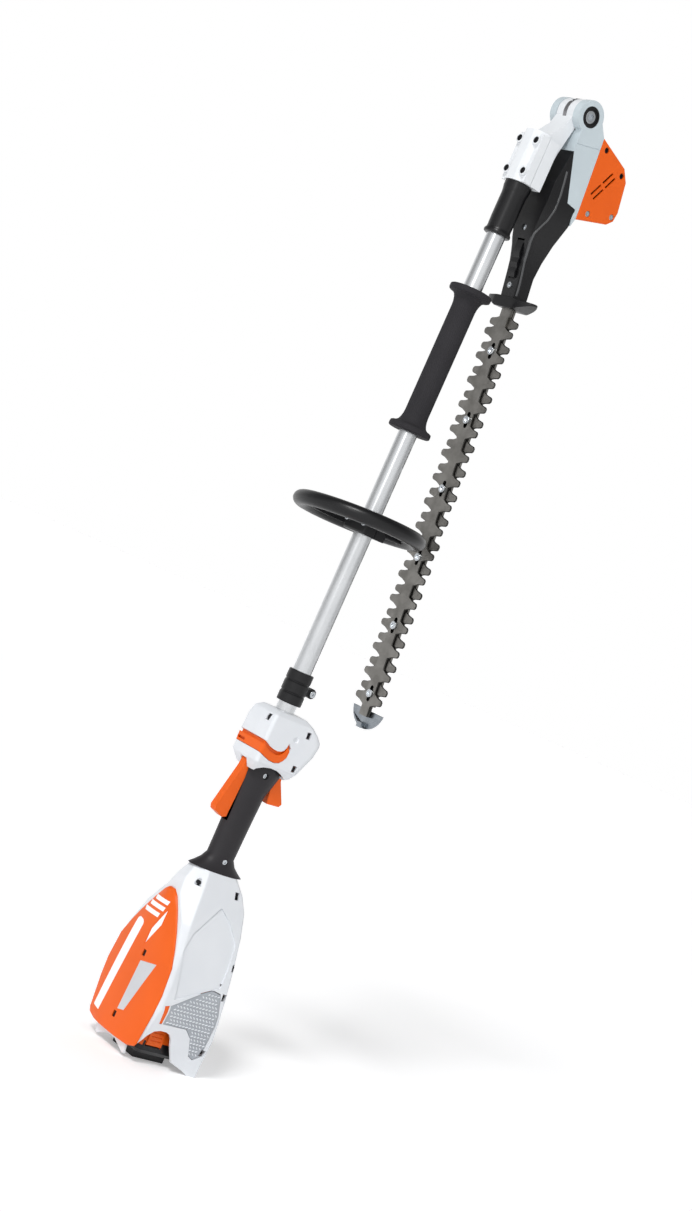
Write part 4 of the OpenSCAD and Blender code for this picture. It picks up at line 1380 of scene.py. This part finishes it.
@dataclass
class LoopHandle(SubAssembly):
    """The ring handle round the tube, held by a split hub."""

    height: float = 700.0
    middle: float = -14.0
    radius: float = 76.0
    tilt: float = -4.0
    rim_half: Point2 = (9.9, 9.4)
    # The ledge inside the rim: distance inwards from the rim's middle, and height
    ledge: tuple = ((13, -3.2), (6, -4.4), (6, 2.2), (13, 1.2))
    hub_half_height: float = 14.0
    hub_half_width: float = 22.0
    screw_places: Point2 = (-17, 17)

    def build(self) -> None:
        """Makes the rim with its inner ledge, the hub with its spokes, and the screws."""
        place = Matrix.Rotation(math.radians(self.tilt), 4, "X")
        centre = (self.middle, 0, self.height)
        wide, tall = self.rim_half
        corners = [k * math.tau / 20 for k in range(20)]
        rim = [(self.radius + wide * math.cos(a), tall * math.sin(a)) for a in corners]
        ring = Form.spun(rim, centre, 96, place)
        ledge = Form.spun([(self.radius - r, z) for r, z in self.ledge], centre, 96, place)
        low, high = self.height - self.hub_half_height, self.height + self.hub_half_height
        width = self.hub_half_width
        hub = Form.block((0.5, -width, low), (18, width, high)).rounded(3.0, 3, 60.0,
                                                                 lambda c: c.x > 12)
        spoke = Form.prism([(14, self.height - 8), (56, self.height - 5.5),
                            (56, self.height + 5.5), (14, self.height + 8)], Axis.Y, -9, 9
                           ).rounded(2.0, 3, 50.0)
        hub.joined(spoke, ring, ledge)
        hub.cut(Form.rod(Axis.Z, 12.0, (0, 0), low - 5, high + 5, 64))
        hub.piece("loop_handle_ring", Finishes.BLACK, "pole", ("loop_handle",),
                  "black_plastic", smooth=50.0)
        cap = Form.block((-18, -width, low), (-0.5, width, high)).rounded(
            3.0, 3, 60.0, lambda c: c.x < -12)
        cap.cut(Form.rod(Axis.Z, 12.0, (0, 0), low - 5, high + 5, 64))
        for y in self.screw_places:
            cap.cut(Form.rod(Axis.X, 2.6, (y, self.height), -20, 1, 24))
        cap.piece("loop_hub_cap", Finishes.BLACK, "pole", ("loop_clamp_cap",),
                  "black_plastic")
        screws = Form()
        for y in self.screw_places:
            screws.with_(Form.rod(Axis.X, 2.5, (y, self.height), -18, 12, 24),
                         screw_head(Axis.X, (y, self.height), -21, -1, 4.6, 3.0, 0.45))
        screws.piece("loop_hub_screws", Finishes.PLATED, "pole", ("loop_screws",),
                     "bright_screw")


@dataclass
class Bracket(SubAssembly):
    """The white bracket at the tube's top end, with the pivot barrel and bolt."""

    pivot: Point2 = (PIVOT.x / MM, PIVOT.z / MM)
    # Where the cap's screws are, across and up
    screw_rows: Point2 = (-15.5, 15.5)
    screw_heights: Point2 = (1165, 1205)
    bolt_radius: float = 7.95
    bolt_end: float = 26.0
    socket_radius: float = 4.8

    def build(self) -> None:
        """Makes the bracket's two castings, its screws, and the pivot bolt."""
        Form.cad("bracket_body").rounded(1.0, 2, 35.0, self._outer).piece(
            "bracket_casting", Finishes.CAST_WHITE, "pole", ("bracket_body",), "cast_white")
        Form.cad("bracket_cap").rounded(0.9, 2, 35.0, self._outer).piece(
            "bracket_cap_casting", Finishes.CAST_WHITE, "pole", ("bracket_cap",),
            "cast_white")
        heads = Form()
        for y in self.screw_rows:
            for z in self.screw_heights:
                head = Form.rod(Axis.X, 3.9, (y, z), -16.6, -13.2, 32).rounded(
                    0.5, 2, 60.0, lambda c: c.x < -16)
                head.cut(Form.block((-18, y - 0.75, z - 3.4), (-15.4, y + 0.75, z + 3.4)))
                heads.with_(head)
        heads.piece("bracket_screw_heads", Finishes.OXIDE, "pole", ("bracket_screws",),
                    "dark_screw")
        end = self.bolt_end
        bolt = Form.rod(Axis.Y, self.bolt_radius, self.pivot, -end, end, 48)
        bolt.rounded(0.8, 2, 60.0)
        for side in Side:
            reach = outward(side, end - 4.5, end + 1)
            bolt.cut(Form.rod(Axis.Y, self.socket_radius, self.pivot, *reach, 6))
        bolt.piece("pivot_bolt_shank", Finishes.PLATED, "pole", ("pivot_bolt",),
                   "bright_screw")

    def _outer(self, c: Vector) -> bool:
        """Tells an outside edge from one in the tube's bore or the pivot's.

        Args:
            c: The edge's middle.

        Returns:
            True outside.
        """
        x, z = self.pivot
        return (math.hypot(c.x, c.y) > 12.6 and math.hypot(c.x - x, c.z - z) > 9
                and not (abs(c.x) < 1 and c.z < 1215))

    def dress(self) -> None:
        """Finishes the notched disc on the pivot."""
        dress(Finishes.MACHINED, "detent_disc")


@dataclass
class CutterHead(SubAssembly):
    """The gear housing, black casing, motor cover and hand guard of the folding head."""

    motor_screws: tuple = ((42, -27), (79, -47), (47, -107), (86, -98))
    vents: tuple = ((41, -84), (53.5, -65), (47, -88), (59.5, -69))
    # Across, out to the side and along: the line where the casing's side turns its corner
    ridge: tuple = ((-7.5, 27, -72), (-6.2, 27, -84), (-4.6, 27, -102), (-4.6, 26, -120),
                    (-8.5, 24, -135), (-14.5, 20.9, -148), (-17.6, 19, -156),
                    (-16.8, 17.1, -165), (-14.6, 15.5, -173.5), (-11.6, 13.2, -191),
                    (-7.7, 12.4, -209), (-5.6, 12.2, -223), (-5, 12.05, -233))
    # The thin parting line across the gear housing's sides, and the corner at its foot
    parting: tuple = ((-9, -36.6), (33, -30.6), (33, -29.9), (-9, -35.9))
    heel: tuple = ((24.6, -108), (31, -112), (31, -119), (26.6, -130), (24.6, -121))
    # Half widths of the gear housing, of its bushes and of the corner
    half_width: float = 27.0
    bush_face: float = 27.4
    heel_half: float = 26.8
    bush_radius: float = 13.1
    bead_radius: float = 1.8
    vent_size: Point2 = (19.0, 1.5)
    vent_slant: float = -57.0
    # The hand guard's outline: middle, half depth and half width
    guard_plan: Point3 = (3.0, 16.5, 43.5)
    # Where the crank's shaft ends, across and along
    crank_end: Point2 = (23.0, -104.0)

    def build(self) -> None:
        """Makes the head's shells and fasteners."""
        self.gear_housing()
        self.casing()
        self.motor_cover()
        self.guard()

    def gear_housing(self) -> None:
        """Makes the pale grey gear housing with its thin parting line."""
        case = Form.cad("gear_housing").moved(HEAD.inverted())
        groove = Form()
        for side in Side:
            groove.with_(Form.prism(list(self.parting), Axis.Y, *outward(side, 26.4, 28)))
        case.cut(groove, self.crank_room())
        case.joined(Form.prism(list(self.heel), Axis.Y, -self.heel_half, self.heel_half))
        case.rounded(0.9, 2, 35.0, lambda c: abs(c.y) > 26.5)
        case.moved(HEAD).piece("gear_housing_casting", Finishes.CAST_GREY, "cutter_head",
                               ("gear_housing",), "cast_grey")
        rings = Form()
        for side in Side:
            ring = Form.rod(Axis.Y, self.bush_radius, (0, 0),
                            *outward(side, 15.6, self.bush_face), 64)
            ring.rounded(0.9, 3, 60.0, lambda c: abs(c.y) > self.half_width)
            ring.cut(Form.rod(Axis.Y, 8.05, (0, 0), -30, 30, 64),
                     Form.rod(Axis.Y, 10.4, (0, 0), *outward(side, self.bush_face - 1, 30), 64))
            rings.with_(ring)
        rings.moved(HEAD).piece("pivot_bush_rings", Finishes.BLACK, "cutter_head",
                                ("pivot_bushes",), "black_plastic")

    def crank_room(self) -> Form:
        """Makes the room behind the crank's end, so that the shaft turns clear."""
        x, z = self.crank_end
        return Form.rod(Axis.X, 6.8, (0, z), x - 3, x + 0.3, 40)

    def casing(self) -> None:
        """Makes the black casing, its inner shell, the ridge beads and the release lever."""
        outer = Form.cad("casing_outer").moved(HEAD.inverted()).cut(self.crank_room())
        outer.moved(HEAD).rounded(2.2, 3, 28.0, self._outside).piece(
            "casing_outer_shell", Finishes.BLACK, "cutter_head", ("casing_outer",),
            "black_plastic")
        Form.cad("casing_inner").rounded(1.3, 3, 28.0, self._outside).piece(
            "casing_inner_shell", Finishes.BLACK, "cutter_head", ("casing_inner",),
            "black_plastic")
        # The beads' lighter colour is a painted highlight along the casing's ridge
        beads = Form()
        for side in Side:
            beads.with_(Form.loft([self._bead_ring(side, place) for place in self.ridge]))
        beads.moved(HEAD).piece("casing_ridge_beads", Finishes.EDGE, "cutter_head", (),
                                "black_plastic", smooth=60.0)
        Form.cad("release_lever").rounded(0.5, 2, 28.0).piece(
            "release_lever_paddle", Finishes.BLACK, "head_release", ("release_lever",),
            "black_plastic")

    def _bead_ring(self, side: Side, place: Point3) -> list[Point3]:
        """Gives the bead's cut at a place on the ridge, sunk a little into the casing.

        Args:
            side: The side that the bead is on.
            place: Across, out to the side and along.

        Returns:
            Twelve points in order.
        """
        x, out, z = place
        middle = side.value * (out - 0.7)
        return [(x + self.bead_radius * math.cos(k * math.tau / 12),
                 middle + self.bead_radius * math.sin(k * math.tau / 12), z)
                for k in range(12)]

    def _outside(self, c: Vector) -> bool:
        """Tells an outside edge of the casing from one round the gears."""
        own = HEAD.inverted() @ c
        return abs(own.y) > 11.4 or own.x < -12.4

    def motor_cover(self) -> None:
        """Makes the orange motor cover's halves and their screws."""
        for side, name in ((Side.RIGHT, "motor_cover_right"), (Side.LEFT, "motor_cover_left")):
            cover = Form.cad(name).moved(HEAD.inverted())
            cover.rounded(1.6, 3, 25.0, self._cover_edge)
            length, half = self.vent_size
            low, high = outward(side, 24, 28)
            turn = Matrix.Rotation(math.radians(self.vent_slant), 4, "Y")
            for x, z in self.vents:
                slot = Form.block((0, low, -half), (length, high, half))
                cover.cut(slot.moved(Matrix.Translation((x, 0, z)) @ turn))
            cover.moved(HEAD).piece(name + "_shell", Finishes.ORANGE, "cutter_head", (name,),
                                    "orange_shell")
        dark, bright = Form(), Form()
        for k, at in enumerate(self.motor_screws):
            held = dark if k < 2 else bright
            held.with_(screw_head(Axis.Y, at, -26.2 if k > 1 else -25.4, -1, 3.7, 1.6))
        dark.moved(HEAD).piece("motor_cover_dark_screws", Finishes.OXIDE, "cutter_head", (),
                               "bright_screw")
        bright.moved(HEAD).piece("motor_cover_bright_screws", Finishes.PLATED, "cutter_head",
                                 ("motor_cover_screws",), "bright_screw")

    def _cover_edge(self, c: Vector) -> bool:
        """Tells the cover's outer rim from its vents and screw holes.

        Args:
            c: The edge's middle, in the head's frame.

        Returns:
            True on the rim.
        """
        clear = all(math.hypot(c.x - x, c.z - z) > 5.2 for x, z in self.motor_screws)
        vents = 37 < c.x < 66 and -92 < c.z < -48
        return abs(c.y) > 26.2 and clear and not vents

    def guard(self) -> None:
        """Makes the crescent hand guard at the casing's lower end."""
        guard = Form.cad("hand_guard").moved(HEAD.inverted())
        middle, depth, width = self.guard_plan
        turns = [k * math.tau / 64 for k in range(64)]
        plan = [(middle + depth * math.cos(a), width * math.sin(a)) for a in turns]
        guard.kept(Form.prism(plan, Axis.Z, -300, -200))
        guard.moved(HEAD).rounded(1.0, 3, 28.0).piece(
            "hand_guard_crescent", Finishes.BLACK, "cutter_head", ("hand_guard",),
            "black_plastic")

    def dress(self) -> None:
        """Finishes the parts inside the head."""
        dress(Finishes.WINDING, "motor_stator")
        dress(Finishes.MACHINED, "drive_bearings", "motor_rotor", "motor_pinion",
              "crank_gear", "lock_pawl")
        dress(Finishes.BLACK, "motor_fan")
        dress(Finishes.PLATED, "casing_screws")


@dataclass
class Blades(SubAssembly):
    """The two double-sided blades on their bar, with the guard at the tip."""

    # Height at which the guard's upper part is cut away, so that the last teeth show
    guard_top: float = -776.0
    screws: tuple = (-305, -395, -485, -575, -665, -755)

    def build(self) -> None:
        """Makes both blades, the bar, its screws and the tip guard."""
        for name, body in (("upper_blade", "blade_upper"), ("lower_blade", "blade_lower")):
            blade = Form.cad(name).moved(HEAD.inverted())
            blade.rounded(0.8, 1, 50.0, lambda c: abs(c.y) > 8.4 and c.z < -250)
            made = blade.moved(HEAD).piece(name + "_ground", Finishes.BLADE, body, (name,),
                                           "blade_steel", smooth=25.0)
            made.data.materials.append(Finishes.FLANK.make())
            for face in made.data.polygons:
                own = HEAD.inverted() @ (face.center / MM)
                if abs((HEAD.inverted().to_3x3() @ face.normal).x) < 0.9 and own.z < -236:
                    face.material_index = 1
        bar = Form.cad("blade_bar").rounded(0.6, 2, 50.0)
        bar.piece("blade_bar_ground", Finishes.BLADE, "cutter_head", ("blade_bar",),
                  "blade_steel")
        heads = Form()
        for z in self.screws:
            heads.with_(screw_head(Axis.X, (0, z), -5.4, -1, 5.3, 2.3, 0.45),
                        Form.rod(Axis.X, 2.4, (0, z), -3.2, 6.1, 24),
                        Form.rod(Axis.X, 4.3, (0, z), 6.1, 9.5, 6))
        heads.moved(HEAD).piece("bar_screw_set", Finishes.PLATED, "cutter_head",
                                ("bar_screws",), "bright_screw")
        guard = Form.cad("tip_guard").moved(HEAD.inverted())
        guard.cut(Form.block((-20, -40, self.guard_top), (20, 40, self.guard_top + 16)))
        guard.moved(HEAD).rounded(0.9, 3, 35.0).piece(
            "tip_guard_plate", Finishes.GUARD, "cutter_head", ("tip_guard",), "guard_steel")


@dataclass
class Studio:
    """The pale surround, the lights and the camera."""

    azimuth: float = -39.0
    distance: float = 2.70
    aim_height: float = 0.5994
    aim_side: float = 0.01607
    roll: float = 23.97
    lens: float = 66.1
    # The pale walls give way to the ceiling between these sines of the angle above level
    wall_end: float = 0.42
    ceiling_start: float = 0.62
    ceiling_light: float = 0.45
    # Light of the walls to the left and right, as a share of that of the other two
    side_light: float = 0.45

    def surround(self) -> None:
        """Makes the plain floor."""
        bm = bmesh.new()
        bmesh.ops.create_circle(bm, cap_ends=True, radius=30.0, segments=96)
        mesh = bpy.data.meshes.new("studio_floor")
        bm.to_mesh(mesh)
        bm.free()
        floor = bpy.data.objects.new("studio_floor", mesh)
        bpy.context.scene.collection.objects.link(floor)
        mesh.materials.append(Finishes.PAPER.make())

    def sky(self) -> None:
        """Surrounds the tool with pale walls: darker overhead and to either side."""
        world = bpy.data.worlds.new("studio")
        bpy.context.scene.world = world
        world.use_nodes = True
        tree = world.node_tree
        way = add_node(tree, "TexCoord").outputs["Generated"]
        up = add_node(tree, "SeparateXYZ", {0: way}).outputs["Z"]
        height = add_node(tree, "MapRange", {
            "Value": up, "From Min": self.wall_end, "From Max": self.ceiling_start,
            "To Min": 1.0, "To Max": self.ceiling_light}).outputs["Result"]
        a = math.radians(self.azimuth)
        along = add_node(tree, "VectorMath", {0: way, 1: (math.sin(a), -math.cos(a), 0.0)},
                         operation="DOT_PRODUCT").outputs["Value"]
        reach = add_node(tree, "Math", {0: along}, operation="ABSOLUTE").outputs[0]
        walls = add_node(tree, "MapRange", {
            "Value": reach, "From Min": 0.25, "From Max": 0.75,
            "To Min": self.side_light, "To Max": 1.0}).outputs["Result"]
        power = add_node(tree, "Math", {0: height, 1: walls}, operation="MULTIPLY").outputs[0]
        paper = tree.nodes["Background"]
        paper.inputs["Color"].default_value = srgb("FFFFFF")
        tree.links.new(power, paper.inputs["Strength"])

    def lights(self) -> None:
        """Hangs one broad light high on the left, and one soft box for the highlights."""
        aim = Vector((0, 0, 0.65))
        for name, kind, place, size, power in (
                ("overhead", "SUN", (-2.6, -1.5, 3.4), math.radians(11), 1.6),
                ("softbox", "AREA", (-2.2, -1.4, 1.3), 0.6, 5.0)):
            lamp = bpy.data.lights.new(name, kind)
            lamp.energy = power
            if kind == "SUN":
                lamp.angle = size
            else:
                lamp.shape, lamp.size = "DISK", size
            hung = bpy.data.objects.new(name, lamp)
            hung.location = place
            hung.rotation_euler = (aim - Vector(place)).to_track_quat("-Z", "Y").to_euler()
            bpy.context.scene.collection.objects.link(hung)

    def camera(self) -> None:
        """Sets the camera level with the loop handle and rolled, so the pole leans."""
        a = math.radians(self.azimuth)
        right = Vector((math.cos(a), math.sin(a), 0))
        back = Vector((math.sin(a), -math.cos(a), 0))
        up = Vector((0, 0, 1))
        t = math.radians(self.roll)
        across = right * math.cos(t) + up * math.sin(t)
        over = up * math.cos(t) - right * math.sin(t)
        place = right * self.aim_side + up * self.aim_height + back * self.distance
        turn = Matrix((across, over, back)).transposed().to_4x4()
        lens = bpy.data.cameras.new("camera")
        lens.lens = self.lens
        lens.sensor_width = 36.0
        eye = bpy.data.objects.new("camera", lens)
        eye.matrix_world = Matrix.Translation(place) @ turn
        bpy.context.scene.collection.objects.link(eye)
        bpy.context.scene.camera = eye

    def build(self) -> None:
        """Makes the whole studio."""
        self.camera()
        self.surround()
        self.sky()
        self.lights()
        # Plain display colours, so that a white ground stays white
        bpy.context.scene.view_settings.view_transform = "Standard"


def main() -> None:
    """Builds the studio and each sub-assembly in order."""
    logging.basicConfig(level=logging.INFO, format="%(name)s: %(message)s")
    Studio().build()
    for part in (BatteryHousing(), Battery(), Handle(), ControlHead(), Shaft(), LoopHandle(),
                 Bracket(), CutterHead(), Blades()):
        part.build()
        part.dress()
        log.info("%s done", type(part).__name__)


if __name__ == "__main__":
    main()
